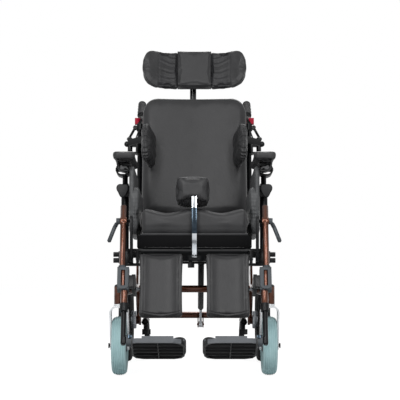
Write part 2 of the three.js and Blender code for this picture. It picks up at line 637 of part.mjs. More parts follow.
// Clamp under the front cross tube, through which the abductor bar slides
function abductorClamp() {
  const high = seat.frontTube / 4;
  const low = pommel.barZ - pommel.clampHeight / 2;
  const y = seat.front + pommel.bend;
  const body = box(pommel.clampWidth, pommel.clampDepth, high - low, at(0, y, (high + low) / 2));
  const neck = tube([at(-pommel.knob / 2, y, low + overrun), at(-pommel.knob / 2, y,
    low - pommel.knobHeight / 2)], pommel.knobHeight);
  const knob = slab(lobed(pommel.knob / 2, pommel.knob / 6, arm.lobes), pommel.knobHeight)
    .translate(-pommel.knob / 2, y, low - pommel.knobHeight * 1.5);
  return join(body, neck, knob);
}

function abductorSlot() {
  return box(pommel.barWidth + 2 * clearance, pommel.clampDepth + 2 * overrun, pommel.bar + 2 * clearance,
    at(0, seat.front + pommel.bend, pommel.barZ));
}

// Seat board: a tray upside down, open at the back, resting on the rails
function seatPan() {
  const low = seat.railTube / 2 + clearance;
  const high = low + seat.panHeight;
  const length = seat.panRear - seat.panFront;
  const middle = (seat.panRear + seat.panFront) / 2;
  const shell = box(seat.panWidth, length, seat.panHeight, at(0, middle, (low + high) / 2));
  const hollow = box(seat.panWidth - 2 * seat.panSkirt, length, seat.panHeight,
    at(0, middle + seat.panSkirt, (low + high) / 2 - seat.panSkin));
  return cut(shell, hollow);
}

function seatCushion() {
  const length = seat.cushionRear - seat.cushionFront;
  const width = seat.cushionWidth;
  const form = pad(roundedRectangle(width, length, seat.cushionHeight * 0.4), seat.cushionHeight, {
    edge: seat.cushionHeight * 0.22, crown: seat.crown / 2, points: 28, rims: 2, rings: 3,
    shape: (v) => {
      const [sx, sy] = [v.x / (width / 2), v.y / (length / 2)];
      const front = Math.max(0, -sy) ** 2;
      if (v.z > 0) v.z += seat.saddle * front * (Math.cos(2 * Math.PI * sx) - 1) / 2;
      else v.z = Math.max(v.z, -seat.cushionHeight / 2 + seat.crown / 2);
      v.y *= 1 - 0.012 * (1 - sx * sx);
      return v;
    },
  });
  const z = seat.railTube / 2 + seat.panHeight + 2 * clearance + seat.cushionHeight / 2 - seat.crown / 2;
  return form.translate(0, (seat.cushionRear + seat.cushionFront) / 2, z);
}

// Abductor: a chrome bar bent up in front of the cushion, and the pad on its back
function abductorBar() {
  const y = seat.cushionFront - pommel.gapToPan;
  const half = pommel.bar / 2;
  const bend = pommel.bend;
  const upright = new THREE.Shape();
  upright.moveTo(y + pommel.run, pommel.barZ - half);
  upright.lineTo(y + pommel.run, pommel.barZ + half);
  upright.absarc(y + bend - half, pommel.barZ + bend, bend - half, 1.5 * Math.PI, Math.PI, true);
  upright.lineTo(y, pommel.barTop);
  upright.lineTo(y - pommel.bar, pommel.barTop);
  upright.absarc(y + bend - half, pommel.barZ + bend, bend + half, Math.PI, 1.5 * Math.PI, false);
  return sidePlate(upright, pommel.barWidth, 0);
}

function abductorPad() {
  const form = pad(roundedRectangle(pommel.padWidth, pommel.padHeight, pommel.padHeight * 0.24),
    pommel.padLength, {
      edge: pommel.padLength * 0.24, crown: pommel.padLength * 0.06, points: 18, rims: 2, rings: 2,
      shape: (v) => {
        const drop = 0.5 - v.y / pommel.padHeight;
        v.x *= 1 - 0.1 * drop;
        return v;
      },
    });
  const y = seat.cushionFront - pommel.gapToPan + pommel.padLength / 2 + clearance;
  return form.rotateX(Math.PI / 2).translate(pommel.padShift, y, pommel.padZ);
}

// Arm rest
function armFrame() {
  const padLow = arm.padTop - arm.padHeight * (1 - arm.crownShare) - clearance;
  const post = tube([at(postX, arm.postY, arm.postLow), at(postX, arm.postY, arm.postHigh)],
    arm.post, tubeSides);
  const loop = roundedRectangle(arm.loopWidth, arm.loopHeight, arm.loopHeight * 0.42);
  loop.holes.push(roundedRectangle(arm.loopWidth - 2 * arm.loopWall, arm.loopHeight - 2 * arm.loopWall,
    arm.loopHeight * 0.42 - arm.loopWall));
  const loopX = postX + arm.loopWidth / 6;
  const bracket = frontPlate(loop, arm.loopDepth, arm.postY - arm.loopDepth / 2)
    .translate(loopX, 0, padLow - arm.bar / 2 - arm.loopHeight / 2);
  const length = (arm.padRear - arm.padFront) * 0.8;
  const middle = (arm.padRear + arm.padFront) / 2;
  const bar = box(arm.barWidth, length, arm.bar, at(loopX, middle, padLow - arm.bar / 2));
  const link = box(arm.loopWidth - arm.loopWall, arm.loopDepth * 0.4, arm.loopWall,
    at(loopX, arm.postY, padLow - arm.loopHeight * 0.55));
  const guardFace = guardX + guard.thickness / 2 + clearance;
  const tabs = [-0.28, 0.28].map((share) => box(loopX - guardFace, guard.tabHeight, guard.tab,
    at((loopX + guardFace) / 2, middle + share * length, padLow - arm.bar - guard.tab / 2)));
  return join(post, bracket, bar, link, ...tabs);
}

function armPad() {
  const length = arm.padRear - arm.padFront;
  return pad(roundedRectangle(arm.padWidth, length, arm.padWidth * 0.42), arm.padHeight, {
    edge: arm.padHeight * 0.4, crown: arm.padHeight * arm.crownShare, points: 18, rims: 2, rings: 2,
    shape: (v) => {
      v.z = Math.max(v.z, arm.padHeight * (arm.crownShare - 0.5));
      return v;
    },
  }).translate(postX - arm.padShift, (arm.padRear + arm.padFront) / 2, arm.padTop - arm.padHeight / 2);
}

// Upholstered side guard: a thin board with a raised hip pad low on its inner face
function sideGuard() {
  const [length, height] = [guard.rear - guard.front, guard.high - guard.low];
  const board = roundedRectangle(length, height, guard.radius);
  const plate = sidePlate(board, guard.thickness, guardX)
    .translate(0, (guard.rear + guard.front) / 2, (guard.high + guard.low) / 2);
  const padLength = guard.padRear - guard.padFront;
  const padHeight = guard.padHigh - guard.padLow;
  const hip = pad(roundedRectangle(padLength, padHeight, padHeight * 0.45), 2 * guard.padThickness, {
    edge: guard.padThickness * 0.9, crown: guard.padThickness * 0.2, points: 18, rims: 2, rings: 2,
  });
  const upright = new THREE.Matrix4().makeBasis(at(0, 1, 0), at(0, 0, 1), at(1, 0, 0));
  hip.applyMatrix4(upright).translate(guardX - guard.thickness / 2, (guard.padRear + guard.padFront) / 2,
    (guard.padHigh + guard.padLow) / 2);
  const outside = box(4 * guard.padThickness, padLength + 2 * overrun, padHeight + 2 * overrun,
    at(guardX + guard.thickness / 2 + 2 * guard.padThickness, (guard.padRear + guard.padFront) / 2,
      (guard.padHigh + guard.padLow) / 2));
  return join(cut(hip, outside), plate);
}

// Back
function handlePath() {
  const x = back.canes / 2;
  const rise = radians(back.handleRise);
  const bendAt = at(x, back.caneY, back.caneHigh);
  const along = at(0, Math.cos(rise), Math.sin(rise));
  return { bendAt, end: bendAt.clone().addScaledVector(along, back.handleLength), along };
}

function backFrameSide() {
  const x = back.canes / 2;
  const { bendAt, end, along } = handlePath();
  const cane = tube(bent([at(x, back.caneY, back.caneLow), bendAt, end], back.handleBend), back.cane);
  const lugX = x - recline.lug / 2 - clearance;
  const eye = sidePlate(strap(new THREE.Vector2(0, 0), recline.eye,
    new THREE.Vector2(back.caneY, back.lowBar), back.cane / 2), recline.lug, lugX);
  const pitch = back.gripLength / back.gripRibs;
  const [high, low] = [back.grip / 2, back.grip * 0.43];
  const waves = evenly(2 * back.gripRibs, (i) => [i % 2 ? low : high, pitch * (i + 0.5) / 2]);
  const grip = turnedUpright([[0, 0], [low, 0], ...waves, [high, back.gripLength], [0, back.gripLength]],
    tubeSides, at(0, 0, 0)).applyQuaternion(new THREE.Quaternion().setFromUnitVectors(at(0, 0, 1), along));
  const gripStart = end.clone().addScaledVector(along, overrun - back.gripLength);
  grip.translate(...gripStart.toArray());
  const latch = box(lever.latch, lever.latch * 0.7, lever.latchLength,
    at(x + back.cane / 2, back.caneY, back.caneHigh));
  return join(cane, eye, grip, latch, leverMount(), lateralClamp());
}

function backFrame() {
  const reach = back.canes / 2;
  const across = (z) => tube([at(-reach, back.caneY, z), at(reach, back.caneY, z)], back.bar);
  const ears = springEars(reclineSpring, new THREE.Vector2(back.caneY, back.lowBar),
    new THREE.Vector2(back.hornY, -back.hornDrop));
  const block = box(head.clampWidth, head.clampDepth + head.stemY - back.caneY, head.clampHeight,
    at(0, (back.caneY + head.stemY + head.clampDepth / 2) / 2, back.highBar));
  const slot = box(head.stemWidth + 2 * clearance, head.stemDepth + 2 * clearance,
    head.clampHeight + 2 * overrun, at(0, head.stemY, back.highBar));
  const bores = sides.map(({ sign }) => pinHole([at(sign * (back.canes / 2 - 2 * recline.lug), 0, 0),
    at(sign * (back.canes / 2 + recline.lug), 0, 0)], recline.pin));
  const halves = sides.map((side) => forSide(backFrameSide(), side));
  return cut(join(...halves, across(back.lowBar), across(back.highBar), ears, block), slot, ...bores);
}

// The back board hangs on the cross bars, and the cushion on the board
const shellFront = () => back.caneY - back.bar / 2 - back.shellThickness - clearance;

function backShell() {
  const height = back.shellHigh - back.shellLow;
  const board = roundedRectangle(back.shellWidth, height, back.shellRadius);
  return frontPlate(board, back.shellThickness, shellFront())
    .translate(0, 0, (back.shellHigh + back.shellLow) / 2);
}

function backCushion() {
  const [width, height] = [back.cushionWidth, back.cushionHigh - back.cushionLow];
  const form = pad(roundedRectangle(width, height, back.cushionRadius), back.cushionThickness, {
    edge: back.cushionThickness * 0.36, crown: back.crown, points: 28, rims: 2, rings: 3,
    shape: (v) => {
      v.z = Math.min(v.z, back.cushionThickness / 2 - back.crown);
      v.x *= 1 - 0.02 * Math.cos(Math.PI * v.y / height);
      return v;
    },
  });
  const rearFace = shellFront() - clearance;
  return form.rotateX(-Math.PI / 2).translate(0, rearFace - back.cushionThickness / 2 + back.crown,
    (back.cushionHigh + back.cushionLow) / 2);
}

// Lateral support, in its own frame: the origin is the swing axis beside the cane
const lateralSwing = at(back.canes / 2 + back.cane / 2 + lateral.block / 2 + clearance + lateral.swing,
  back.caneY, lateral.clampZ);

function lateralPadCentre() {
  return at(lateral.padX, lateral.padY, lateral.padZ).sub(lateralSwing);
}

function lateralArm() {
  const centre = lateralPadCentre();
  const turn = radians(lateral.padTurn);
  const face = centre.clone().add(at(Math.cos(turn), Math.sin(turn), 0).multiplyScalar(
    lateral.padThickness * (0.5 - lateral.crownShare) + clearance + lateral.arm / 2));
  const bar = new THREE.Shape();
  const half = lateral.arm / 2;
  const foot = at(Math.sin(turn), -Math.cos(turn), 0).multiplyScalar(lateral.padLength / 4);
  const [near, far] = [face.clone().sub(foot), face.clone().add(foot)];
  const out = at(Math.cos(turn), Math.sin(turn), 0).multiplyScalar(half);
  bar.moveTo(-half, 0);
  bar.lineTo(half, 0);
  bar.lineTo(half, near.y * 0.62);
  bar.lineTo(near.x + out.x, near.y + out.y);
  bar.lineTo(far.x + out.x, far.y + out.y);
  bar.lineTo(far.x - out.x, far.y - out.y);
  bar.lineTo(near.x - out.x, near.y - out.y);
  bar.lineTo(-half, near.y * 0.56);
  const strip = new THREE.ExtrudeGeometry(bar, { depth: lateral.armHeight, bevelEnabled: false })
    .translate(0, 0, -lateral.armHeight / 2);
  const hub = tube([at(0, 0, -lateral.armHeight / 2), at(0, 0, lateral.armHeight / 2)],
    2 * lateral.swing, tubeSides);
  const bore = pinHole([at(0, 0, -lateral.armHeight), at(0, 0, lateral.armHeight)], lateral.swing);
  return cut(join(strip, hub), bore);
}

// Fork on the cane that holds the swing pin, with its ball knob
function lateralClamp() {
  const gapHalf = lateral.armHeight / 2 + clearance;
  const cheek = lateral.arm * 1.2;
  const x0 = back.canes / 2;
  const cheeks = [-1, 1].map((s) => box(lateralSwing.x + lateral.swing - x0, 2 * lateral.swing, cheek,
    at((lateralSwing.x + lateral.swing + x0) / 2, back.caneY, lateral.clampZ + s * (gapHalf + cheek / 2))));
  const web = box(lateral.block / 2, lateral.blockDepth, 2 * (gapHalf + cheek),
    at(x0 + lateral.block / 4, back.caneY, lateral.clampZ));
  const pinReach = gapHalf + cheek;
  const pin = tube([at(lateralSwing.x, back.caneY, lateral.clampZ - pinReach),
    at(lateralSwing.x, back.caneY, lateral.clampZ + pinReach)], lateral.swing, pinSides);
  const knobTop = lateral.clampZ + pinReach + lateral.knobLength;
  const neck = tube([at(lateralSwing.x, back.caneY, lateral.clampZ + pinReach - overrun),
    at(lateralSwing.x, back.caneY, knobTop)], lateral.swing, pinSides);
  const ball = new THREE.SphereGeometry(lateral.knob / 2, tubeSides, 5).rotateX(Math.PI / 2)
    .translate(lateralSwing.x, back.caneY, knobTop);
  return join(...cheeks, web, pin, neck, ball);
}

function lateralPad() {
  const form = pad(rounded(lateral.padLength, lateral.padHeight, lateral.padHeight * 0.2,
    lateral.padHeight * 0.44), lateral.padThickness, {
    edge: lateral.padThickness * 0.45, crown: lateral.padThickness * lateral.crownShare, points: 18,
    rims: 2, rings: 2,
    shape: (v) => {
      v.z = Math.max(v.z, lateral.padThickness * (lateral.crownShare - 0.5));
      return v;
    },
  });
  const inward = new THREE.Matrix4().makeBasis(at(0, -1, 0), at(0, 0, 1), at(-1, 0, 0));
  const centre = lateralPadCentre();
  return form.applyMatrix4(inward).rotateZ(radians(lateral.padTurn))
    .translate(centre.x, centre.y, centre.z);
}

// Control lever below the push handle, in its own frame: a flat blade with a ball end
function controlLever() {
  const end = at(lever.out, lever.backward, -lever.down);
  const blade = tube([at(0, 0, -lever.blade * 0.6), end], lever.blade, 6);
  const ball = new THREE.SphereGeometry(lever.ball / 2, 6, 4).translate(end.x, end.y, end.z);
  const hub = tube([at(-lever.blade * 0.4, 0, 0), at(lever.blade * 0.9, 0, 0)], lever.blade * 2,
    pinSides);
  const bore = pinHole([at(-lever.blade, 0, 0), at(lever.blade * 2, 0, 0)], lever.pin);
  return cut(join(blade, ball, hub), bore);
}

const leverPivot = at(back.canes / 2 + back.cane / 2 + lever.blade, back.caneY, lever.mountZ);

// Collar on the cane with the lever's pin, and the cable that runs from it down the cane
function leverMount() {
  const x = back.canes / 2;
  const half = lever.latchLength / 2;
  const collar = tube([at(x, back.caneY, leverPivot.z - half), at(x, back.caneY, leverPivot.z + half)],
    back.cane * 1.35, tubeSides);
  const pin = tube([at(x, back.caneY, leverPivot.z), at(leverPivot.x + lever.blade * 0.7, back.caneY,
    leverPivot.z)], lever.pin, pinSides);
  const behind = back.caneY + back.cane / 2 + lever.cable / 2;
  const bow = lever.cable * 4;
  const cable = tube(bent([
    at(x, back.caneY, leverPivot.z - half / 2),
    at(x + bow, back.caneY - bow, (leverPivot.z + lateral.clampZ) / 2),
    at(x, behind - lever.cable / 4, lateral.clampZ - lateral.block),
    at(x, behind - lever.cable / 4, back.lowBar + back.bar),
  ], back.handleBend), lever.cable, 6);
  return join(collar, pin, cable);
}

// Head rest
function headStem() {
  const rise = head.hingeZ - head.barrel;
  const bar = box(head.stemWidth, head.stemDepth, rise - head.stemLow,
    at(0, head.stemY, (rise + head.stemLow) / 2));
  const arm = sidePlate(strap(new THREE.Vector2(head.stemY, rise), head.stemDepth / 2,
    new THREE.Vector2(head.hingeY, head.hingeZ), head.barrel / 2), head.stemWidth, 0);
  const top = tube([at(-head.barrelLength / 4, head.hingeY, head.hingeZ), at(head.barrelLength / 4,
    head.hingeY, head.hingeZ)], head.barrel, tubeSides);
  const bore = pinHole([at(-head.barrelLength, head.hingeY, head.hingeZ), at(head.barrelLength, head.hingeY,
    head.hingeZ)], head.hinge * 0.7);
  return cut(join(bar, arm, top), bore);
}

// Steel plate behind the head pad: lugs for the stem's hinge, and a hinge barrel for each wing
function headPlate() {
  const front = headPadBack() + clearance;
  const board = roundedRectangle(head.plateWidth, head.plateHeight, head.hinge);
  const sheet = frontPlate(board, head.plate, front);
  const lugX = head.barrelLength / 4 + clearance + head.plate / 2;
  const lugs = [-lugX, lugX].map((x) => join(
    box(head.plate, -front - head.plate / 2, head.barrel, at(x, (front + head.plate / 2) / 2, 0)),
    tube([at(x - head.plate / 2, 0, 0), at(x + head.plate / 2, 0, 0)], head.barrel, tubeSides)));
  const pin = tube([at(-lugX - head.plate, 0, 0), at(lugX + head.plate, 0, 0)], head.hinge * 0.7, pinSides);
  const flank = wingHinge();
  const barrels = [-1, 1].flatMap((s) => {
    const tab = box(flank.x - head.plateWidth / 2 + head.hinge, head.plate, head.plateHeight * 0.3,
      at(s * (flank.x + head.plateWidth / 2 - head.hinge) / 2, front + head.plate / 2, 0));
    return [tab, tube([at(s * flank.x, flank.y, -head.plateHeight * 0.15),
      at(s * flank.x, flank.y, head.plateHeight * 0.15)], head.hinge),
      tube([at(s * flank.x, flank.y, -head.plateHeight * 0.42),
        at(s * flank.x, flank.y, head.plateHeight * 0.42)], head.hinge * 0.5, pinSides)];
  });
  return join(sheet, ...lugs, pin, ...barrels);
}

const headPadBack = () => head.padFront + head.padThickness - head.hingeY;
const wingHinge = () => at((head.padWidth + head.hinge) / 2, headPadBack() + clearance + head.plate / 2,
  0);

function headPad() {
  const form = pad(roundedRectangle(head.padWidth, head.padHeight, head.padRadius), head.padThickness, {
    edge: head.padThickness * 0.35, crown: head.padThickness * 0.14, points: 18, rims: 2, rings: 2,
    shape: (v) => {
      v.z = Math.min(v.z, head.padThickness / 2 - head.padThickness * 0.14);
      return v;
    },
  });
  return form.rotateX(-Math.PI / 2).translate(0, headPadBack() - head.padThickness / 2
    + head.padThickness * 0.14, 0);
}

// Wing in its own frame, with the hinge at the origin: a D-shaped pad on a plate with two knuckles
function headWing() {
  const padX = head.wingLength / 2 - head.hinge * 0.4;
  const form = pad(rounded(head.wingLength, head.wingHeight, head.hinge, head.wingRadius),
    head.wingThickness, {
      edge: head.wingThickness * 0.42, crown: head.wingThickness * 0.14, points: 18, rims: 2, rings: 2,
      shape: (v) => {
        v.z = Math.min(v.z, head.wingThickness / 2 - head.wingThickness * 0.14);
        return v;
      },
    }).rotateX(-Math.PI / 2).translate(padX + head.hinge * 0.6, -head.hinge / 2 - head.plate / 2
    - head.wingThickness * 0.36, 0);
  const sheet = box(head.wingLength * 0.7, head.plate, head.plateHeight * 0.75,
    at(head.wingLength * 0.38, -head.hinge / 2, 0));
  const knuckles = [-1, 1].map((s) => {
    const from = head.plateHeight * 0.15 + clearance;
    return tube([at(0, 0, s * from), at(0, 0, s * head.plateHeight * 0.36)], head.hinge * 1.1,
      pinSides);
  });
  const bore = pinHole([at(0, 0, -head.plateHeight), at(0, 0, head.plateHeight)], head.hinge * 0.5);
  const window = box(3 * head.hinge, 3 * head.hinge, head.plateHeight * 0.3 + 2 * clearance,
    at(0, 0, 0));
  return cut(join(form, sheet, ...knuckles), bore, window);
}

// Leg rest. The hanger's frame has its origin on the swing axis, the leg's on the knee axis
function legHanger() {
  const [height, middle] = [hanger.hubHigh - hanger.hubLow, (hanger.hubHigh + hanger.hubLow) / 2];
  const [inner, outer] = [hanger.hubIn - hanger.swingX, hanger.hubOut - hanger.swingX];
  const hub = box(outer - inner, hanger.hubDepth, height, at((inner + outer) / 2, 0, middle));
  const reach = height / 2 + hanger.lug + clearance;
  const pin = tube([at(0, 0, middle - reach), at(0, 0, middle + reach)], hanger.pin, pinSides);
  const kneeAt = new THREE.Vector2(leg.kneeY - hanger.swingY, leg.kneeZ);
  const plateX = hanger.plateIn + hanger.plate / 2 - hanger.swingX;
  const plateY = -hanger.lugSize - height / 2 - 4 * clearance;
  const plate = sidePlate(strap(new THREE.Vector2(plateY, middle), height / 2, kneeAt, hanger.kneeEye),
    hanger.plate, plateX);
  const flange = box(hanger.plate, -plateY, height, at(plateX, plateY / 2, middle));
  const bolts = [-1, 1].map((s) => tube([at(outer - overrun, 0, middle + s * height / 4),
    at(outer + hanger.bolt, 0, middle + s * height / 4)], hanger.boltSize, 6));
  const end = leg.x + leg.tube / 2 + knee.gap + knee.thickness - hanger.swingX;
  const kneePin = tube([at(plateX, kneeAt.x, kneeAt.y), at(end, kneeAt.x, kneeAt.y)], leg.pivotPin);
  return join(hub, pin, plate, flange, ...bolts, kneePin);
}

function legTube() {
  const low = leg.lowerInset;
  const upper = tube([at(0, 0, leg.top), at(0, 0, -leg.castTop - overrun)], leg.tube, tubeSides);
  const cap = new THREE.SphereGeometry(leg.tube / 2, tubeSides, 3).scale(1, 1, 0.4).translate(0, 0, leg.top);
  const boss = tube([at(-leg.tube / 2 - 2 * clearance, 0, 0), at(leg.tube / 2, 0, 0)], leg.boss, tubeSides);
  const casting = box(leg.castWidth, leg.castDepth, leg.castLow - leg.castTop,
    at(-low / 2, 0, -(leg.castLow + leg.castTop) / 2));
  const neck = tube([at(0, 0, -leg.castTop + leg.windowHeight / 4), at(0, 0, -leg.castTop - overrun)],
    leg.castDepth * 0.8, tubeSides);
  const window = box(leg.window, leg.castDepth * 2, leg.windowHeight,
    at(leg.window / 4, 0, -(leg.castLow + leg.castTop) / 2));
  const lower = tube([at(-low, 0, -leg.castLow + overrun), at(-low, 0, -leg.lowerEnd)], leg.lower,
    tubeSides);
  const collar = tube([at(-low, 0, -leg.lowerEnd + overrun), at(-low, 0, -leg.collarEnd)], leg.collar,
    tubeSides);
  const armX = calf.armX - leg.x;
  const armDepth = calf.rodY + calf.armPlate;
  const plate = box(calf.armPlate, armDepth, calf.armHeight, at(armX, armDepth / 2 - calf.armPlate / 2,
    -calf.rodZ));
  const bridge = box(-armX, leg.castDepth * 0.7, calf.armHeight * 0.8, at(armX / 2, 0, -calf.rodZ));
  const rod = tube([at(armX, calf.rodY, -calf.rodZ), at(calf.lugIn - calf.lugWidth - leg.x, calf.rodY,
    -calf.rodZ)], calf.rod, pinSides);
  const kneeBore = pinHole([at(-leg.tube, 0, 0), at(leg.tube, 0, 0)], leg.pivotPin, tubeSides);
  const bore = tube([at(-low, 0, -leg.boreTop), at(-low, 0, -leg.collarEnd - overrun)], leg.bore, tubeSides);
  const body = cut(join(upper, cap, boss, casting, neck, lower, collar), window);
  return cut(join(body, bridge, plate, rod), kneeBore, bore);
}

// Calf pad in its own frame, with the rod at the origin: a dished pad on a plate with two eyes
function calfPad() {
  const centreX = calf.x - leg.x;
  const [front, rearFace] = [calf.front - calf.rodY, calf.front + calf.thickness - calf.rodY];
  const form = pad(roundedRectangle(calf.width, calf.height, calf.radius), calf.thickness, {
    edge: calf.thickness * 0.4, crown: 0, points: 18, rims: 2, rings: 2,
    shape: (v) => {
      const across = 2 * v.x / calf.width;
      if (v.z > 0) v.z -= calf.dish * (1 - across * across);
      return v;
    },
  }).rotateX(Math.PI / 2).translate(centreX, (front + rearFace) / 2, calf.rodZ - calf.top - calf.height / 2);
  const sheet = box(calf.width * calf.plateShare, calf.backPlate, calf.height * calf.plateShare,
    at(centreX + calf.width * 0.06, rearFace + calf.backPlate / 2 - clearance, 0));
  const eyes = [calf.lugIn, calf.lugOut].map((x) => sidePlate(strap(
    new THREE.Vector2(rearFace + calf.backPlate / 2, 0), calf.lugSize, new THREE.Vector2(0, 0),
    calf.lugSize), calf.lugWidth, x - leg.x));
  const shave = box(calf.width * 2, calf.thickness, calf.height * 2,
    at(centreX, rearFace - calf.thickness / 2 - clearance, 0));
  const bore = pinHole([at(calf.lugIn - calf.lugWidth * 2 - leg.x, 0, 0),
    at(calf.lugOut + calf.lugWidth * 2 - leg.x, 0, 0)], calf.rod);
  return cut(join(form, cut(join(sheet, ...eyes), shave)), bore);
}

// Foot tube in the leg's frame, with the footplate's hinge bracket at its bottom
function footTube() {
  const x = -leg.lowerInset;
  const shaft = tube([at(x, 0, -foot.top), at(x, 0, -foot.bottom)], foot.tube, tubeSides);
  const hingeX = foot.hingeIn + foot.hingeWidth / 2 - leg.x;
  const block = sidePlate(strap(new THREE.Vector2(0, -foot.bottom), foot.hinge / 2,
    new THREE.Vector2(0, -foot.bottom + foot.hinge), foot.hinge / 2), foot.hingeWidth, hingeX);
  const link = box(x - hingeX, foot.hinge * 0.8, foot.hinge, at((x + hingeX) / 2, 0,
    -foot.bottom + foot.hinge / 2));
  const pin = tube([at(hingeX, 0, -foot.bottom), at(hingeX - foot.hingeWidth * 1.2, 0, -foot.bottom)],
    foot.pin, pinSides);
  const plug = tube([at(x, 0, -foot.bottom + overrun), at(x, 0, -foot.bottom - foot.tube / 4)],
    foot.tube * 0.8);
  return join(shaft, block, link, pin, plug);
}

// Footplate in its own frame, with its hinge at the origin: a ribbed moulding, raised at its toe and
// along its inner edge
function footplate() {
  const hingeX = foot.hingeIn + foot.hingeWidth / 2;
  const [inner, outer] = [foot.plateIn - hingeX, foot.plateOut - hingeX];
  const [width, depth] = [outer - inner, foot.rear - foot.front];
  const outline = new THREE.Shape();
  const c = foot.corner;
  outline.moveTo(outer, foot.front + c / 2);
  outline.lineTo(outer, foot.rear - c);
  outline.absarc(outer - c, foot.rear - c, c, 0, Math.PI / 2, false);
  outline.quadraticCurveTo(inner + width / 2, foot.rear - c * 0.6, inner + c, foot.rear);
  outline.absarc(inner + c, foot.rear - c, c, Math.PI / 2, Math.PI, false);
  outline.lineTo(inner, foot.front + c);
  outline.absarc(inner + c, foot.front + c, c, Math.PI, 1.5 * Math.PI, false);
  outline.lineTo(outer - c / 2, foot.front);
  outline.absarc(outer - c / 2, foot.front + c / 2, c / 2, 1.5 * Math.PI, 2 * Math.PI, false);
  const top = foot.bottom - foot.level;
  const low = top - foot.plate - foot.ribHeight;
  const [middleX, middleY] = [(inner + outer) / 2, (foot.front + foot.rear) / 2];
  const shrink = (by) => outline.getPoints(curveSegments).map((p) => new THREE.Vector2(
    middleX + (p.x - middleX) * (1 - 2 * by / width), middleY + (p.y - middleY) * (1 - 2 * by / depth)));
  const body = cut(slab(outline, top - low, low), slab(new THREE.Shape().setFromPoints(shrink(foot.rim)),
    top - foot.plate - low + overrun, low - overrun));
  const spacing = (depth - foot.rim) / (foot.ribs + 1);
  const ribDepth = foot.ribHeight + foot.plate / 2;
  const ribZ = top - (foot.plate + ribDepth) / 2;
  const across = evenly(foot.ribs, (i) => box(width - foot.rim, foot.rib, ribDepth,
    at(middleX, foot.front + spacing * (i + 1), ribZ)));
  const along = box(foot.rib, depth - foot.rim, ribDepth, at(middleX, middleY, ribZ));
  const trim = new THREE.Shape().setFromPoints(shrink(foot.rim / 2));
  const ribs = geometryOf(solid(join(...across, along)).intersect(solid(slab(trim, top - low, low))));
  const toeLip = box(width - 2 * c, foot.rim, foot.toe, at(middleX, foot.front + foot.rim / 2,
    top + foot.toe / 2 - overrun));
  const innerLip = box(foot.rim, depth - 2 * c, foot.lip, at(inner + foot.rim / 2, middleY,
    top + foot.lip / 2 - overrun));
  const lugX = -foot.hingeWidth / 2 - clearance - foot.pin / 2;
  const lug = sidePlate(strap(new THREE.Vector2(0, 0), foot.hinge / 2,
    new THREE.Vector2(0, top - foot.plate), foot.hinge / 2 * 0.99), foot.pin, lugX);
  const bore = pinHole([at(-foot.hingeWidth * 1.2 - overrun, 0, 0), at(0, 0, 0)], foot.pin);
  return cut(join(body, ribs, toeLip, innerLip, lug), bore);
}

// Clamping lever on the knee pin, in its own frame
function kneeLever() {
  const half = knee.thickness / 2;
  const hub = tube([at(-half, 0, 0), at(half, 0, 0)], knee.root, tubeSides);
  const blade = tube(bent([at(0, 0, 0), at(knee.thickness, 0, -knee.lever / 3),
    at(knee.drop, -knee.drop / 2, -knee.lever)], knee.grip), knee.grip, 6);
  const tip = new THREE.SphereGeometry(knee.grip / 2, 6, 4).translate(knee.drop, -knee.drop / 2, -knee.lever);
  const bore = pinHole([at(-half - overrun, 0, 0), at(2 * knee.thickness, 0, 0)], leg.pivotPin,
    tubeSides);
  return cut(join(hub, blade, tip), bore);
}

// Assembly
const chair = new THREE.Group();
chair.name = 'chair';

add(chair, 'front_cross_tube', crossTube(), copperPaint);
add(chair, 'rear_axle_tube', rearAxleTube(), copperPaint);
const shared = {
  side: baseSide(),
  fork: casterFork(),
  casterRim: rim(caster, 5, false),
  casterTyre: tyre(caster, caster.grooves, caster.grooveDepth),
  rearRim: rim(rear, 5, true),
  rearTyre: tyre(rear, 0, 0),
  antiTip: antiTipTube(),
  roller: antiTipRoller(),
  guard: sideGuard(),
  armFrame: armFrame(),
  armPad: armPad(),
  lateralArm: lateralArm(),
  lateralPad: lateralPad(),
  lever: controlLever(),
  wing: headWing(),
  hanger: legHanger(),
  legTube: legTube(),
  calf: calfPad(),
  footTube: footTube(),
  footplate: footplate(),
  kneeLever: kneeLever(),
};

sides.forEach((side) => {
  const [n, s] = [side.name, side.sign];
  add(chair, `base_side_${n}`, forSide(shared.side, side), copperPaint);
  add(chair, `anti_tip_${n}`, forSide(shared.antiTip, side), blackPaint);
  const swivel = pivot(chair, `caster_${n}`, s * caster.spread / 2, 0, caster.crownHeight);
  add(swivel, `caster_fork_${n}`, forSide(shared.fork, side), bareSteel);
  const axleDrop = caster.diameter / 2 - caster.crownHeight;
  const wheel = pivot(swivel, `caster_wheel_${n}`, 0, caster.trail, axleDrop);
  add(wheel, `caster_rim_${n}`, forSide(shared.casterRim, side), greyCasting);
  add(wheel, `caster_tyre_${n}`, forSide(shared.casterTyre, side), greyRubber);
  const rearWheel = pivot(chair, `rear_wheel_${n}`, s * rear.spread / 2, base.wheelbase, rear.diameter / 2);
  add(rearWheel, `rear_rim_${n}`, forSide(shared.rearRim, side), mouldedNylon);
  add(rearWheel, `rear_tyre_${n}`, forSide(shared.rearTyre, side), blackRubber);
  const rollerX = antiTip.spread / 2 - antiTip.tube / 2 - antiTip.rollerWidth / 2 - 2 * clearance;
  const roller = pivot(chair, `anti_tip_wheel_${n}`, s * rollerX, antiTip.reach, antiTip.rollerHeight);
  add(roller, `anti_tip_roller_${n}`, forSide(shared.roller, side), blackRubber);
});

const seatGroup = pivot(chair, 'seat', 0, base.pivotY, pivotZ, seatTilt);
add(seatGroup, 'seat_frame', seatFrame(), copperPaint);
add(seatGroup, 'seat_pan', seatPan(), blackPaint);
add(seatGroup, 'seat_cushion', seatCushion(), leatherette);
const abductor = pivot(seatGroup, 'abductor', 0, 0, 0);
add(abductor, 'abductor_bar', abductorBar(), bareSteel);
add(abductor, 'abductor_pad', abductorPad(), leatherette);

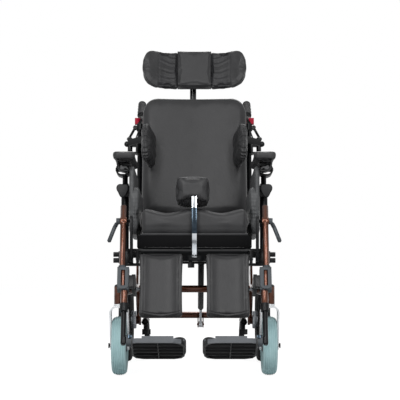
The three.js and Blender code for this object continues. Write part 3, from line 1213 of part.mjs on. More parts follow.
const backGroup = pivot(seatGroup, 'back', 0, recline.y, recline.z, backLean);
add(backGroup, 'back_frame', backFrame(), copperPaint);
add(backGroup, 'back_shell', backShell(), blackPaint);
add(backGroup, 'back_cushion', backCushion(), leatherette);
const stemGroup = pivot(backGroup, 'head_stem', 0, 0, 0);
add(stemGroup, 'headrest_stem', headStem(), blackPaint);
const headGroup = pivot(stemGroup, 'head', 0, head.hingeY, head.hingeZ);
add(headGroup, 'headrest_plate', headPlate(), blackPaint);
add(headGroup, 'headrest_pad', headPad(), leatherette);

sides.forEach((side) => {
  const [n, s] = [side.name, side.sign];
  const hinge = wingHinge();
  const wing = pivot(headGroup, `head_wing_${n}`, s * hinge.x, hinge.y, 0);
  wing.rotation.z = -s * radians(head.wingTurn);
  add(wing, `headrest_wing_${n}`, forSide(shared.wing, side), leatherette);
  const lateralGroup = pivot(backGroup, `lateral_${n}`, s * lateralSwing.x, lateralSwing.y, lateralSwing.z);
  add(lateralGroup, `lateral_arm_${n}`, forSide(shared.lateralArm, side), blackPaint);
  add(lateralGroup, `lateral_pad_${n}`, forSide(shared.lateralPad, side), leatherette);
  const leverGroup = pivot(backGroup, `lever_${n}`, s * leverPivot.x, leverPivot.y, leverPivot.z);
  add(leverGroup, `control_lever_${n}`, forSide(shared.lever, side), blackPaint);
  const armGroup = pivot(seatGroup, `arm_${n}`, 0, 0, 0);
  add(armGroup, `arm_frame_${n}`, forSide(shared.armFrame, side), blackPaint);
  add(armGroup, `arm_pad_${n}`, forSide(shared.armPad, side), leatherette);
  add(armGroup, `side_guard_${n}`, forSide(shared.guard, side), leatherette);
  const hangerGroup = pivot(seatGroup, `hanger_${n}`, s * hanger.swingX, hanger.swingY, 0);
  add(hangerGroup, `legrest_hanger_${n}`, forSide(shared.hanger, side), copperPaint);
  const legGroup = pivot(hangerGroup, `leg_${n}`, s * (leg.x - hanger.swingX), leg.kneeY - hanger.swingY,
    leg.kneeZ, legLean);
  add(legGroup, `leg_tube_${n}`, forSide(shared.legTube, side), copperPaint);
  const latchX = leg.x + leg.tube / 2 + knee.gap + knee.thickness / 2 - hanger.swingX;
  const latch = pivot(hangerGroup, `latch_${n}`, s * latchX, leg.kneeY - hanger.swingY, leg.kneeZ);
  add(latch, `latch_lever_${n}`, forSide(shared.kneeLever, side), blackPaint);
  const calfGroup = pivot(legGroup, `calf_${n}`, 0, calf.rodY, -calf.rodZ);
  add(calfGroup, `calf_pad_${n}`, forSide(shared.calf, side), leatherette);
  const footGroup = pivot(legGroup, `foot_${n}`, 0, 0, 0);
  add(footGroup, `foot_tube_${n}`, forSide(shared.footTube, side), blackPaint);
  const plateX = foot.hingeIn + foot.hingeWidth / 2 - leg.x;
  const plateGroup = pivot(footGroup, `plate_${n}`, s * plateX, 0, -foot.bottom);
  add(plateGroup, `footplate_${n}`, forSide(shared.footplate, side), mouldedNylon);
});

// Gas springs, laid between a pin on one body and the open eye round a pin on the other
function gasSpring(name, parent, spring, low, high) {
  const reach = high.clone().sub(low);
  const length = reach.length();
  const lean = THREE.MathUtils.radToDeg(Math.atan2(-reach.y, reach.z));
  const rod = pivot(parent, `${name}_rod`, spring.x, low.y, low.z, -lean);
  add(rod, `${name}_spring_rod`, springRod(spring, length), bareSteel);
  const cylinder = pivot(rod, `${name}_cylinder`, 0, 0, length);
  add(cylinder, `${name}_spring_cylinder`, springCylinder(spring, length), blackPaint);
}

// The place of a group's local point, in the frame of the chair or of the seat
function placed(point, group, from) {
  chair.updateMatrixWorld(true);
  return from.worldToLocal(group.localToWorld(point.clone()));
}

gasSpring('tilt', chair, tiltSpring, at(0, tiltSpring.lowY, tiltSpring.lowZ),
  placed(at(0, tiltSpring.highY, tiltSpring.highZ), seatGroup, chair));
gasSpring('recline', seatGroup, reclineSpring, at(0, reclineSpring.lowY, reclineSpring.lowZ),
  placed(at(0, back.hornY, -back.hornDrop), backGroup, seatGroup));

// The origin is the middle of the footprint, on the floor
chair.updateMatrixWorld(true);
const extent = new THREE.Box3().setFromObject(chair, true);
chair.position.y = -(extent.min.y + extent.max.y) / 2;

export default chair;
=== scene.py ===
# %% [markdown]
# # A tilt in space wheelchair
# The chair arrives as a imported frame: rigid parts at their real size, joined by real joints.
# Everything soft in that frame is a plain block that only holds the room for a cushion.
# This lesson dresses the frame. The metal gets its finish and its small radii, and each block
# is replaced by upholstery that is cut, stuffed and sewn the way a trimmer would do it.

import json
from math import atan2, cos, hypot, pi, radians, sin, sqrt

import bmesh
import bpy
from mathutils import Matrix, Vector

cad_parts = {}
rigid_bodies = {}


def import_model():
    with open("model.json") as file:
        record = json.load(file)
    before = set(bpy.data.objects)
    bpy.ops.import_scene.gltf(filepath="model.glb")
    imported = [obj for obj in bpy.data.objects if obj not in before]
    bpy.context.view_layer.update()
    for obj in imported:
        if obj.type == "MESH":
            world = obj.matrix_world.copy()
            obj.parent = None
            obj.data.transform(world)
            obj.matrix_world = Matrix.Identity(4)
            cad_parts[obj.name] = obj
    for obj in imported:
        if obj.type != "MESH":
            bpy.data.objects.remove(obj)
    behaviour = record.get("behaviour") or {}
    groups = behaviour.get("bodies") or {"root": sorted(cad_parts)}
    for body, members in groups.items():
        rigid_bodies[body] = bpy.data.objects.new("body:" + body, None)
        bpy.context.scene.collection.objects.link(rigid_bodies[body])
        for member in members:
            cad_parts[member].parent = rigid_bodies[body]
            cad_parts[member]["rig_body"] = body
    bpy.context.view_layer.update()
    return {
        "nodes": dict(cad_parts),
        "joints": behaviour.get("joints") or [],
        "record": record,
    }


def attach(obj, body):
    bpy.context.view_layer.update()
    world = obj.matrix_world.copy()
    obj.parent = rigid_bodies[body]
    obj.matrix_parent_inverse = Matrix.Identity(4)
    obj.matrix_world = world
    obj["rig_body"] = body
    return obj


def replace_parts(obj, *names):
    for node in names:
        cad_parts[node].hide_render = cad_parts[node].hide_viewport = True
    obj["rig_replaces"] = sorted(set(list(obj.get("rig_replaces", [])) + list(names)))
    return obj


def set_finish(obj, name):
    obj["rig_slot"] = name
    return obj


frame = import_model()
joints = {joint["name"]: joint for joint in frame["joints"]}
mm = 0.001

# %% [markdown]
# ## Working spaces
# The seat leans back a few degrees, the back leans further and the leg rests lean too. A cushion
# is easiest to shape while it lies square, so each body gets a space of its own: its joint gives
# the origin and the joint's axis gives the direction that counts as up. Shapes are made in that
# space and turned into place at the very end.

# %% Spaces taken from the joints
def space_at(origin, up):
    """A frame at a point, leaned about X until its Z axis lies along up."""
    lean = atan2(up.y, up.z)
    return Matrix.Translation(Vector(origin)) @ Matrix.Rotation(-lean, 4, "X")


def joint_space(origin_joint, up_joint, sense=1):
    """The space at one joint, leaned along the axis of another."""
    up = sense * Vector(joints[up_joint]["axis"])
    return space_at(joints[origin_joint]["pos_m"], up)


seat_space = joint_space("tilt", "leg_swing_left")
back_space = joint_space("recline", "headrest_height")
head_space = joint_space("headrest_tilt", "headrest_height")
lateral_space = joint_space("lateral_swing_left", "headrest_height")
leg_up = 1 if joints["foot_length_left"]["axis"][2] > 0 else -1
leg_space = joint_space("leg_raise_left", "foot_length_left", leg_up)
calf_space = joint_space("calf_angle_left", "foot_length_left", leg_up)


def room(node, space):
    """The lowest and highest corner of a frame part, measured in a working space."""
    inward = space.inverted()
    points = [inward @ v.co for v in frame["nodes"][node].data.vertices]
    low = Vector([min(p[i] for p in points) for i in range(3)])
    high = Vector([max(p[i] for p in points) for i in range(3)])
    return low, high


back_low, back_high = room("back_cushion", back_space)
print("back cushion, mm:", [round(v / mm) for v in back_high - back_low])

# %% [markdown]
# ## Camera
# The photograph was taken from straight ahead with a long lens, a little below the seat. Its
# vanishing lines meet at the camera's height, which gives the distance and the focal length.
# The picture is cropped high and slightly to the side, and a small lens shift repeats that
# without tilting the camera, so upright tubes stay upright.

# %% Set up the camera
camera_height = 480 * mm
camera_distance = 4410 * mm
sensor = 36
photo_pixels = 400
focal_pixels = 1246
horizon_row = 234
centre_column = 194.4

lens = bpy.data.cameras.new("photo_lens")
lens.sensor_width = sensor
lens.lens = focal_pixels / photo_pixels * sensor
lens.shift_x = 0.5 - centre_column / photo_pixels
lens.shift_y = horizon_row / photo_pixels - 0.5
camera = bpy.data.objects.new("photo_camera", lens)
bpy.context.scene.collection.objects.link(camera)
camera.location = (0, -camera_distance, camera_height)
camera.rotation_euler = (radians(90), 0, 0)
bpy.context.scene.camera = camera
bpy.context.scene.view_settings.view_transform = "Standard"
print("lens", round(lens.lens, 1), "mm, shift", round(lens.shift_x, 3), round(lens.shift_y, 3))

# %% [markdown]
# ## Nodes for materials
# Every finish below is a small graph of shader nodes. One function adds a node, sets its
# properties and sockets, and joins its inputs. Colours are written as the hex values that a
# designer would pick on screen, and one function turns them to the linear light that the
# renderer works in.

# %% Colour and node helpers
def linear(hex_colour):
    """An sRGB hex colour as linear red, green, blue and alpha."""
    shares = [int(hex_colour[i:i + 2], 16) / 255 for i in (1, 3, 5)]
    return [s / 12.92 if s <= 0.04045 else ((s + 0.055) / 1.055) ** 2.4 for s in shares] + [1]


def add(tree, kind, settings=(), links=()):
    """One node with its properties, its socket values and the outputs that feed it."""
    node = tree.nodes.new("ShaderNode" + kind)
    for name, value in dict(settings).items():
        if isinstance(name, int) or name in node.inputs:
            node.inputs[name].default_value = value
        else:
            setattr(node, name, value)
    for name, output in dict(links).items():
        tree.links.new(output, node.inputs[name])
    return node


def empty_material(name):
    """A material with an empty graph, and that graph."""
    material = bpy.data.materials.new(name)
    material.use_nodes = True
    material.node_tree.nodes.clear()
    return material, material.node_tree


def ramp(tree, factor, stops):
    """A colour ramp through (place, hex colour) stops."""
    node = add(tree, "ValToRGB", links={"Fac": factor})
    while len(node.color_ramp.elements) < len(stops):
        node.color_ramp.elements.new(1)
    for element, (place, colour) in zip(node.color_ramp.elements, stops):
        element.position = place
        element.color = linear(colour)
    return node.outputs["Color"]


def per_metre(size):
    """The scale that gives a noise pattern features of a real size."""
    return 1 / size


print("mid grey is", round(linear("#808080")[0], 3), "in linear light")

# %% [markdown]
# ## World and lamps
# The product stands in a white studio. The world gives a soft even light. Two tall strip lamps
# in front model the cushions and draw a bright line down each tube, and one lamp above and
# behind draws the top edges. What the camera and the reflections see of the world is plain
# white, while the light that falls on the chair stays moderate, so that no pale surface burns
# out.

# %% World and lamps
ambient_strength = 0.26
backdrop_strength = 1.0
chair_middle = Vector((0, 0, 600 * mm))

world = bpy.data.worlds.new("studio")
bpy.context.scene.world = world
world.use_nodes = True
tree = world.node_tree
tree.nodes.clear()
ray = add(tree, "LightPath")
seen = add(tree, "Math", {"operation": "MAXIMUM"},
           {0: ray.outputs["Is Camera Ray"], 1: ray.outputs["Is Glossy Ray"]})
seen = add(tree, "Math", {"operation": "MAXIMUM"},
           {0: seen.outputs[0], 1: ray.outputs["Is Transmission Ray"]})
ambient = add(tree, "Background", {"Color": linear("#eef1f5"), "Strength": ambient_strength})
backdrop = add(tree, "Background", {"Color": linear("#ffffff"), "Strength": backdrop_strength})
mixed = add(tree, "MixShader", links={0: seen.outputs[0], 1: ambient.outputs[0],
                                      2: backdrop.outputs[0]})
add(tree, "OutputWorld", links={"Surface": mixed.outputs[0]})


def softbox(name, stand_at, width, height, power):
    """A flat studio lamp that faces the chair, sized in metres and driven with watts."""
    lamp = bpy.data.lights.new(name, "AREA")
    lamp.shape = "RECTANGLE"
    lamp.size = width
    lamp.size_y = height
    lamp.energy = power
    stand = bpy.data.objects.new(name, lamp)
    bpy.context.scene.collection.objects.link(stand)
    stand.location = stand_at
    stand.rotation_euler = (chair_middle - Vector(stand_at)).to_track_quat("-Z", "Y").to_euler()


softbox("left_strip_softbox", (-1.25, -3.2, 2.5), width=0.5, height=2.6, power=84)
softbox("right_strip_softbox", (1.15, -3.3, 2.4), width=0.4, height=2.4, power=66)
softbox("rim_softbox", (0.3, 2.4, 2.9), width=1.8, height=1.8, power=34)
print("studio: three lamps in a world of strength", ambient_strength)

# %% [markdown]
# ## Floor
# The floor is part paint and part glow, and only the camera sees the glow. So it joins the
# white background and still keeps the chair's shadow.

# %% Floor
floor_reach = 7
glow_strength = 1.3
glow_share = 0.7

mesh = bpy.data.meshes.new("studio_floor")
shape = bmesh.new()
bmesh.ops.create_circle(shape, cap_ends=True, segments=64, radius=floor_reach)
shape.to_mesh(mesh)
shape.free()
floor = bpy.data.objects.new("studio_floor", mesh)
bpy.context.scene.collection.objects.link(floor)
material, tree = empty_material("white_studio_paint")
ray = add(tree, "LightPath")
paint = add(tree, "BsdfPrincipled", {"Base Color": linear("#f2f2f2"), "Roughness": 0.9})
glow = add(tree, "Emission", {"Color": linear("#ffffff"), "Strength": glow_strength})
share = add(tree, "Math", {"operation": "MULTIPLY", 1: glow_share}, {0: ray.outputs["Is Camera Ray"]})
mixed = add(tree, "MixShader", links={0: share.outputs[0], 1: paint.outputs[0],
                                      2: glow.outputs[0]})
add(tree, "OutputMaterial", links={"Surface": mixed.outputs[0]})
mesh.materials.append(material)
print("floor", 2 * floor_reach, "m across")

# %% [markdown]
# ## A recipe for hard surfaces
# Every hard finish has the same graph: a pattern of a known size, a colour that drifts with it,
# a roughness that drifts too, and a bump. What differs is written as facts about the real
# surface: its colours, how metallic it is, how large its grain is and how deep.

# %% The recipe for a hard finish
drift_patch = 60 * mm
fine_share = 0.45
colour_span = (0.32, 0.68)
rough_span = (0.3, 0.7)
coat_roughness = 0.12


def hard_finish(name, colours, metallic, roughness, grain, depth, coat=0.0, gloss=0.5):
    """A rigid surface: colour drifts over a patch, and a fine grain roughens and bumps it.

    colours are the dark and light ends, roughness its low and high end, grain the real size
    of the texture, depth its real depth, coat its clear skin and gloss its shine.
    """
    material, tree = empty_material(name)
    object_place = add(tree, "TexCoord").outputs["Object"]
    drift = add(tree, "TexNoise", {"Scale": per_metre(drift_patch), "Detail": 3.0},
                {"Vector": object_place})
    fine = add(tree, "TexNoise", {"Scale": per_metre(grain), "Detail": 2.0},
               {"Vector": object_place})
    both_sizes = add(tree, "Mix", {"data_type": "FLOAT", "Factor": fine_share},
                     {2: drift.outputs["Fac"], 3: fine.outputs["Fac"]})
    colour = ramp(tree, both_sizes.outputs[0], list(zip(colour_span, colours)))
    rough = add(tree, "MapRange", {"From Min": rough_span[0], "From Max": rough_span[1],
                                   "To Min": roughness[0], "To Max": roughness[1]},
                {"Value": both_sizes.outputs[0]})
    bump = add(tree, "Bump", {"Strength": 1.0, "Distance": depth}, {"Height": fine.outputs["Fac"]})
    shader = add(tree, "BsdfPrincipled", {"Metallic": metallic, "Coat Weight": coat,
                                          "Coat Roughness": coat_roughness,
                                          "Specular IOR Level": gloss},
                 {"Base Color": colour, "Roughness": rough.outputs[0], "Normal": bump.outputs[0]})
    add(tree, "OutputMaterial", links={"Surface": shader.outputs[0]})
    return material


print("the fine grain is", fine_share, "of each pattern")

# %% [markdown]
# ## Metals, plastics and rubbers
# The frame is powder coated: a metallic copper brown laid over steel, with a clear gloss skin
# over fine flakes. Smaller parts are satin black powder coat, cast aluminium, chrome plate,
# bright zinc, moulded nylon and rubber. The grain of most of them is under a millimetre. It is
# drawn at one to three, so that it still breaks up the light in a picture of the whole chair.

# %% Hard finishes
# Brown in the shade, with a coppery line where a lamp runs along a tube
copper_paint = hard_finish("metallic_copper_powder_coat", ("#452210", "#522a15"), metallic=0.85,
                           roughness=(0.27, 0.31), grain=3 * mm, depth=0.001 * mm, coat=0.5)
# Almost black, with a soft and narrow shine
black_paint = hard_finish("satin_black_powder_coat", ("#070809", "#111214"), metallic=0.0,
                          roughness=(0.28, 0.4), grain=1.2 * mm, depth=0.04 * mm, gloss=0.16)
# A mirror for the white studio
chrome = hard_finish("polished_chrome_plate", ("#b4b9be", "#e6e9ec"), metallic=1.0,
                     roughness=(0.06, 0.12), grain=60 * mm, depth=0.01 * mm)
# A light grey metal with a broad dull shine
bright_zinc = hard_finish("bright_zinc_plated_steel", ("#8f9499", "#b9bdc2"), metallic=1.0,
                          roughness=(0.24, 0.36), grain=3 * mm, depth=0.03 * mm)
# Clean and white under a thin clear skin
silver_paint = hard_finish("pearl_white_enamel_on_steel", ("#d3d6d9", "#eef0f1"), metallic=0.15,
                           roughness=(0.22, 0.32), grain=1.5 * mm, depth=0.03 * mm, coat=0.4)
# Dark grey and matt, with the grain of the sand it was cast in
cast_aluminium = hard_finish("sand_cast_grey_aluminium", ("#2a2e31", "#3e4347"), metallic=0.3,
                             roughness=(0.42, 0.58), grain=2.2 * mm, depth=0.12 * mm, gloss=0.35)
# Black, with the fine even texture of its mould
nylon = hard_finish("moulded_black_nylon", ("#0a0b0c", "#17181a"), metallic=0.0,
                    roughness=(0.36, 0.5), grain=1.0 * mm, depth=0.06 * mm, gloss=0.2)
# Black without any shine, so that the board recedes under the cushion
board_plastic = hard_finish("textured_black_polypropylene", ("#040405", "#0b0b0c"), metallic=0.0,
                            roughness=(0.6, 0.75), grain=1.5 * mm, depth=0.1 * mm, gloss=0.06)
# Dark, cold and glossy
dark_steel = hard_finish("polished_blued_steel", ("#1f2830", "#39444e"), metallic=0.9,
                         roughness=(0.14, 0.24), grain=60 * mm, depth=0.01 * mm)
# Grey and dry, a little mottled
grey_nylon = hard_finish("moulded_grey_nylon", ("#46494c", "#5f6266"), metallic=0.0,
                         roughness=(0.5, 0.66), grain=1.4 * mm, depth=0.14 * mm, gloss=0.3)
# A deep crimson with hardly any shine
red_nylon = hard_finish("moulded_crimson_nylon", ("#8c0a26", "#a81331"), metallic=0.0,
                        roughness=(0.4, 0.52), grain=1.2 * mm, depth=0.04 * mm, gloss=0.12)
# Black and dull
black_rubber = hard_finish("vulcanised_black_rubber", ("#0d0d0e", "#1b1b1d"), metallic=0.0,
                           roughness=(0.6, 0.8), grain=2.0 * mm, depth=0.12 * mm, gloss=0.2)
# Pale blue-grey, with a faint shine on its ribs
grey_rubber = hard_finish("non_marking_blue_grey_rubber", ("#86a5a8", "#a1bdbf"), metallic=0.0,
                          roughness=(0.5, 0.68), grain=2.4 * mm, depth=0.1 * mm, gloss=0.35)
print("materials in the file:", len(bpy.data.materials))

# %% [markdown]
# ## Merging a frame part
# The frame's solids are exact, but each is a heap of loose triangles. A copy of a part is
# merged: points that coincide are joined, and the triangles of a flat face become one face
# again. A face that would be hollow on one side is cut once more, because it shades badly.

# %% Merge a copy of a frame part
weld = 0.01 * mm
flat_angle = radians(1)


def bend_of(edge):
    """The angle between the two faces that meet at an edge."""
    return edge.calc_face_angle(0) if len(edge.link_faces) == 2 else 0


def merged_copy(node):
    """The frame part's triangles merged into whole faces, none of them hollow on one side."""
    shape = bmesh.new()
    shape.from_mesh(frame["nodes"][node].data)
    bmesh.ops.remove_doubles(shape, verts=shape.verts, dist=weld)
    bmesh.ops.dissolve_limit(shape, angle_limit=flat_angle, verts=shape.verts, edges=shape.edges)
    bmesh.ops.connect_verts_concave(shape, faces=[f for f in shape.faces if len(f.verts) > 4])
    return shape


shape = merged_copy("rear_axle_tube")
print("rear axle tube:", len(frame["nodes"]["rear_axle_tube"].data.polygons), "triangles merge into",
      len(shape.faces), "faces")
shape.free()

# %% [markdown]
# ## Making and placing a piece
# A bmesh becomes an object once, at the end. It is shaded smooth across gentle edges and sharp
# across real ones. Then the piece is told which body it rides on, what it is made of and which
# parts of the frame it stands for.

# %% Make and place a piece
smooth_angle = radians(38)
body_of_node = {node: body for body, nodes in frame["record"]["behaviour"]["bodies"].items()
                for node in nodes}


def new_piece(name, shape, finishes, space=None):
    """An object made from a bmesh, smooth across its gentle edges."""
    if space is not None:
        shape.transform(space)
    mesh = bpy.data.meshes.new(name)
    shape.to_mesh(mesh)
    shape.free()
    for finish in finishes:
        mesh.materials.append(finish)
    mesh.shade_smooth()
    mesh.set_sharp_from_angle(angle=smooth_angle)
    piece = bpy.data.objects.new(name, mesh)
    bpy.context.scene.collection.objects.link(piece)
    return piece


def place(piece, body, slot, *nodes):
    """Rides a finished piece on its body and says what it stands for."""
    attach(piece, body)
    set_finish(piece, slot)
    if nodes:
        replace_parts(piece, *nodes)
    return piece


print("frame parts on bodies:", len(body_of_node))

# %% [markdown]
# ## Rounding a frame part
# The frame's tubes are faceted and its edges are knife sharp, which no real part is. The long
# edges between the narrow flats of a tube are rounded over until the tube is round again. The
# real corners get a small radius that catches the light, except where the edges beside a
# corner are too short for it.

# %% Round facets and corners
tube_angles = (radians(24), radians(52))
widest_flat = 25 * mm
flat_percent = 36
corner_radius = 0.9 * mm
corner_room = 2.3 * corner_radius


def soften(shape, edges, radius, segments=2):
    """Rounds edges over, each with the same small radius."""
    bmesh.ops.bevel(shape, geom=edges, affect="EDGES", offset=radius, offset_type="OFFSET",
                    segments=segments, profile=0.5, material=-1, clamp_overlap=True)
    return shape


def is_facet_edge(edge):
    """Whether an edge lies between two narrow flats of a tube that should be round."""
    sides = {e for face in edge.link_faces for e in face.edges if set(e.verts) & set(edge.verts)}
    return (tube_angles[0] < bend_of(edge) < tube_angles[1]
            and all(e.calc_length() < widest_flat for e in sides - {edge}))


def has_room(edge):
    """Whether a corner's neighbours are long enough for its radius."""
    return all(other.calc_length() > corner_room for v in edge.verts for other in v.link_edges)


def tidy(shape):
    """Removes the points and slivers that a bevel leaves on top of each other."""
    bmesh.ops.remove_doubles(shape, verts=shape.verts, dist=weld)
    bmesh.ops.dissolve_degenerate(shape, dist=weld, edges=shape.edges)


print("corner radius", round(corner_radius / mm, 1), "mm")

# %% [markdown]
# ## Painting areas
# One frame part can hold things of several materials, such as the grips on the canes. A second
# finish is given to the faces whose middle lies in a box, and a box holds on both sides of the
# chair. Then the copy takes the place of the frame part.

# %% Dress a frame part
everywhere = (-9999, 9999)


def area(finish, space, x=everywhere, y=everywhere, z=everywhere):
    """A box in a working space, in millimetres, whose faces take a finish on both sides."""
    inward = space.inverted()

    def holds(point):
        here = inward @ Vector((abs(point.x), point.y, point.z))
        return all(low * mm <= value <= high * mm for value, (low, high) in zip(here, (x, y, z)))

    return finish, holds


def dress(node, name, finish, slot, areas=()):
    """Replaces a frame part by its rounded copy, painted area by area."""
    shape = merged_copy(node)
    flats = [e for e in shape.edges if is_facet_edge(e)]
    bmesh.ops.bevel(shape, geom=flats, affect="EDGES", offset=flat_percent,
                    offset_type="PERCENT", segments=2, profile=0.5, material=-1,
                    clamp_overlap=False)
    tidy(shape)
    corners = [e for e in shape.edges if bend_of(e) > tube_angles[1] and has_room(e)]
    tidy(soften(shape, corners, corner_radius))
    for face in shape.faces:
        middle = face.calc_center_median()
        for index, (paint, holds) in enumerate(areas, 1):
            if holds(middle):
                face.material_index = index
    piece = new_piece(name, shape, [finish] + [paint for paint, holds in areas])
    return place(piece, body_of_node[node], slot, node)


print("an area without limits reaches", round(everywhere[1] * mm), "m")

# %% [markdown]
# ## Caps, knobs and pins inside the parts
# Welded parts share one coat of paint, but a real frame also carries caps, knobs, clamps and
# pins of other materials. Each of them is an area, named for what it is. Places are given in
# the working spaces, so they lean with the body.

# %% Areas inside the hard parts
base_space = Matrix.Translation((0, joints["caster_swivel_left"]["pos_m"][1], 0))
rear_hub = Matrix.Translation(joints["rear_roll_left"]["pos_m"])
foot_space = joint_space("foot_angle_left", "foot_length_left", leg_up)
handle_lean = radians(47)
handle_root = Vector((207, 14, 492)) * mm
handle_space = (back_space @ Matrix.Translation(handle_root)
                @ Matrix.Rotation(-handle_lean, 4, "X"))

star_knobs = area(nylon, base_space, y=(505, 565), z=(80, 137))
anti_tip_receivers = area(black_paint, base_space, x=(170, 198), y=(439, 561), z=(138, 166))
head_tube_caps = area(nylon, base_space, y=(-20, 20), z=(303, 320))
axle_bosses = area(black_paint, base_space, x=(217.6, 236), y=(478, 522), z=(135, 179))
stub_axles = area(bright_zinc, base_space, x=(236, 300), y=(480, 520), z=(135, 179))
roller_pins = area(bright_zinc, base_space, x=(0, 172), y=(680, 704), z=(40, 64))
brake_drums = area(bright_zinc, rear_hub, x=(-60, -21.5), y=(-36, 36), z=(-36, 36))
arm_knobs = area(nylon, seat_space, x=(205, 280), y=(-250, -214.6), z=(185, 255))
tilt_shaft_ends = area(bright_zinc, seat_space, x=(190, 215), y=(-8.6, 8.6), z=(-8.6, 8.6))
pommel_knob = area(nylon, seat_space, x=(0, 34), y=(-352, -310), z=(-70, -33.5))
grips = area(black_rubber, handle_space, x=(-20, 20), y=(-20, 20), z=(49, 170))
latches = area(red_nylon, back_space, x=(217.05, 230), y=(6.9, 21.2), z=(479.8, 504.2))
lever_pins = area(bright_zinc, back_space, x=(223.6, 240), y=(8, 20), z=(460, 472))
clamp_knobs = area(nylon, back_space, x=(230, 262), y=(-2, 30), z=(397, 432))
cable_runs = area(nylon, back_space, x=(200, 214), y=(26.3, 33), z=(70, 350))
cable_starts = area(nylon, back_space, x=(214, 242), y=(-20, 13), z=(385, 453))
knee_pin_heads = area(bright_zinc, leg_space, x=(8, 60), y=(-12, 12), z=(-12, 12))
leg_caps = area(nylon, leg_space, x=(-11, 11), y=(-11, 11), z=(54, 62))
calf_castings = area(cast_aluminium, leg_space, x=(-24, 16), y=(-18, 18), z=(-246.5, -156))
leg_collars = area(black_paint, leg_space, x=(-24, 16), y=(-18, 18), z=(-318, -291.5))
calf_arm_plates = area(black_paint, leg_space, x=(-60, -23.2), z=(-245, -185))
calf_rods = area(bright_zinc, leg_space, x=(-130, -44.5), z=(-225, -205))
foot_hinges = area(cast_aluminium, foot_space, x=(-60, 12), y=(-12, 12), z=(-12, 32))
plate_fronts = area(grey_nylon, foot_space, x=(-180, 20), y=(-119, -111.5))
plate_edges = area(grey_nylon, foot_space, x=(-180, 20), z=(-17.6, 10))
print("push handles lean", round(handle_lean / radians(1)), "degrees from the canes")

# %% [markdown]
# ## Which part gets which finish
# The table names a finish for each kind of part, the slot that a maker would look it up by, and
# the areas that differ. Left and right parts share a row.

# %% Finish and paint the hard parts
hard_parts = {
    "front_cross_tube": (copper_paint, "copper_paint"),
    "rear_axle_tube": (copper_paint, "copper_paint", [star_knobs, anti_tip_receivers]),
    "base_side": (copper_paint, "copper_paint", [head_tube_caps, axle_bosses, stub_axles]),
    "anti_tip": (black_paint, "black_paint", [roller_pins]),
    "caster_rim": (grey_nylon, "cast_aluminium"),
    "rear_rim": (nylon, "moulded_nylon", [brake_drums]),
    "anti_tip_roller": (black_rubber, "black_rubber"),
    "seat_frame": (black_paint, "black_paint", [arm_knobs, tilt_shaft_ends, pommel_knob]),
    "seat_pan": (board_plastic, "black_paint"),
    "abductor_bar": (chrome, "bright_steel"),
    "back_frame": (black_paint, "black_paint", [grips, latches, lever_pins, clamp_knobs,
                                                cable_runs, cable_starts]),
    "back_shell": (nylon, "moulded_nylon"),
    "headrest_stem": (black_paint, "black_paint"),
    "headrest_plate": (black_paint, "black_paint"),
    "lateral_arm": (black_paint, "black_paint"),
    "arm_frame": (black_paint, "black_paint"),
    "legrest_hanger": (black_paint, "black_paint", [knee_pin_heads]),
    "leg_tube": (copper_paint, "copper_paint", [leg_caps, calf_castings, leg_collars,
                                                calf_arm_plates, calf_rods]),
    "foot_tube": (black_paint, "black_paint", [foot_hinges]),
    "footplate": (nylon, "moulded_nylon", [plate_fronts, plate_edges]),
    "latch_lever": (cast_aluminium, "cast_aluminium"),
    "recline_spring_rod": (chrome, "bright_steel"),
    "recline_spring_cylinder": (black_paint, "black_paint"),
    "tilt_spring_rod": (chrome, "bright_steel"),
    "tilt_spring_cylinder": (black_paint, "black_paint"),
}

for node in sorted(frame["nodes"]):
    stem = node.removesuffix("_left").removesuffix("_right")
    if stem in hard_parts:
        dress(node, node + "_finished", *hard_parts[stem])
print("finished", len(hard_parts), "kinds of hard part")

# %% [markdown]
# ## The other side
# The chair is the same on both sides, so each new piece is modelled on the left and mirrored.
# Mirroring turns the faces inside out, and reversing them turns them back.

# %% Mirror a piece to the right
def twin_name(name):
    """The name of the same thing on the right."""
    return name.replace("_left", "_right")


def twin(piece):
    """The mirrored copy of a left piece, on the body of the other side."""
    shape = bmesh.new()
    shape.from_mesh(piece.data)
    bmesh.ops.scale(shape, vec=(-1, 1, 1), verts=shape.verts)
    bmesh.ops.reverse_faces(shape, faces=shape.faces)
    mesh = piece.data.copy()
    shape.to_mesh(mesh)
    shape.free()
    other = bpy.data.objects.new(twin_name(piece.name), mesh)
    bpy.context.scene.collection.objects.link(other)
    for modifier in piece.modifiers:
        copy = other.modifiers.new(modifier.name, modifier.type)
        if modifier.type == "SUBSURF":
            copy.levels, copy.render_levels = modifier.levels, modifier.render_levels
    nodes = [twin_name(node) for node in piece.get("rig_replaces", [])]
    return place(other, twin_name(piece["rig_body"]), piece["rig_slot"], *nodes)


def both_sides(name, shape, finishes, space, body, slot, *nodes):
    """A left piece in its place, and its twin."""
    twin(place(new_piece(name, shape, finishes, space), body, slot, *nodes))


print("frame parts with a twin:", sum(node.endswith("_left") for node in frame["nodes"]))

# %% [markdown]
# ## Tyres
# A pneumatic caster tyre is moulded of grey non-marking rubber, round in section, with fine
# ribs running round its tread. A tyre is a solid of revolution, so its section is drawn once,
# as a row of points, and spun about the axle.

# %% Spin the caster tyres
section_steps = 64
section_fullness = 2 / 2.7
groove_share = 0.36
bead_share = 0.62
caster_hub = Matrix.Translation(joints["caster_roll_left"]["pos_m"])
caster_radius = 100 * mm
caster_seat = 64.3 * mm
caster_steps = 72


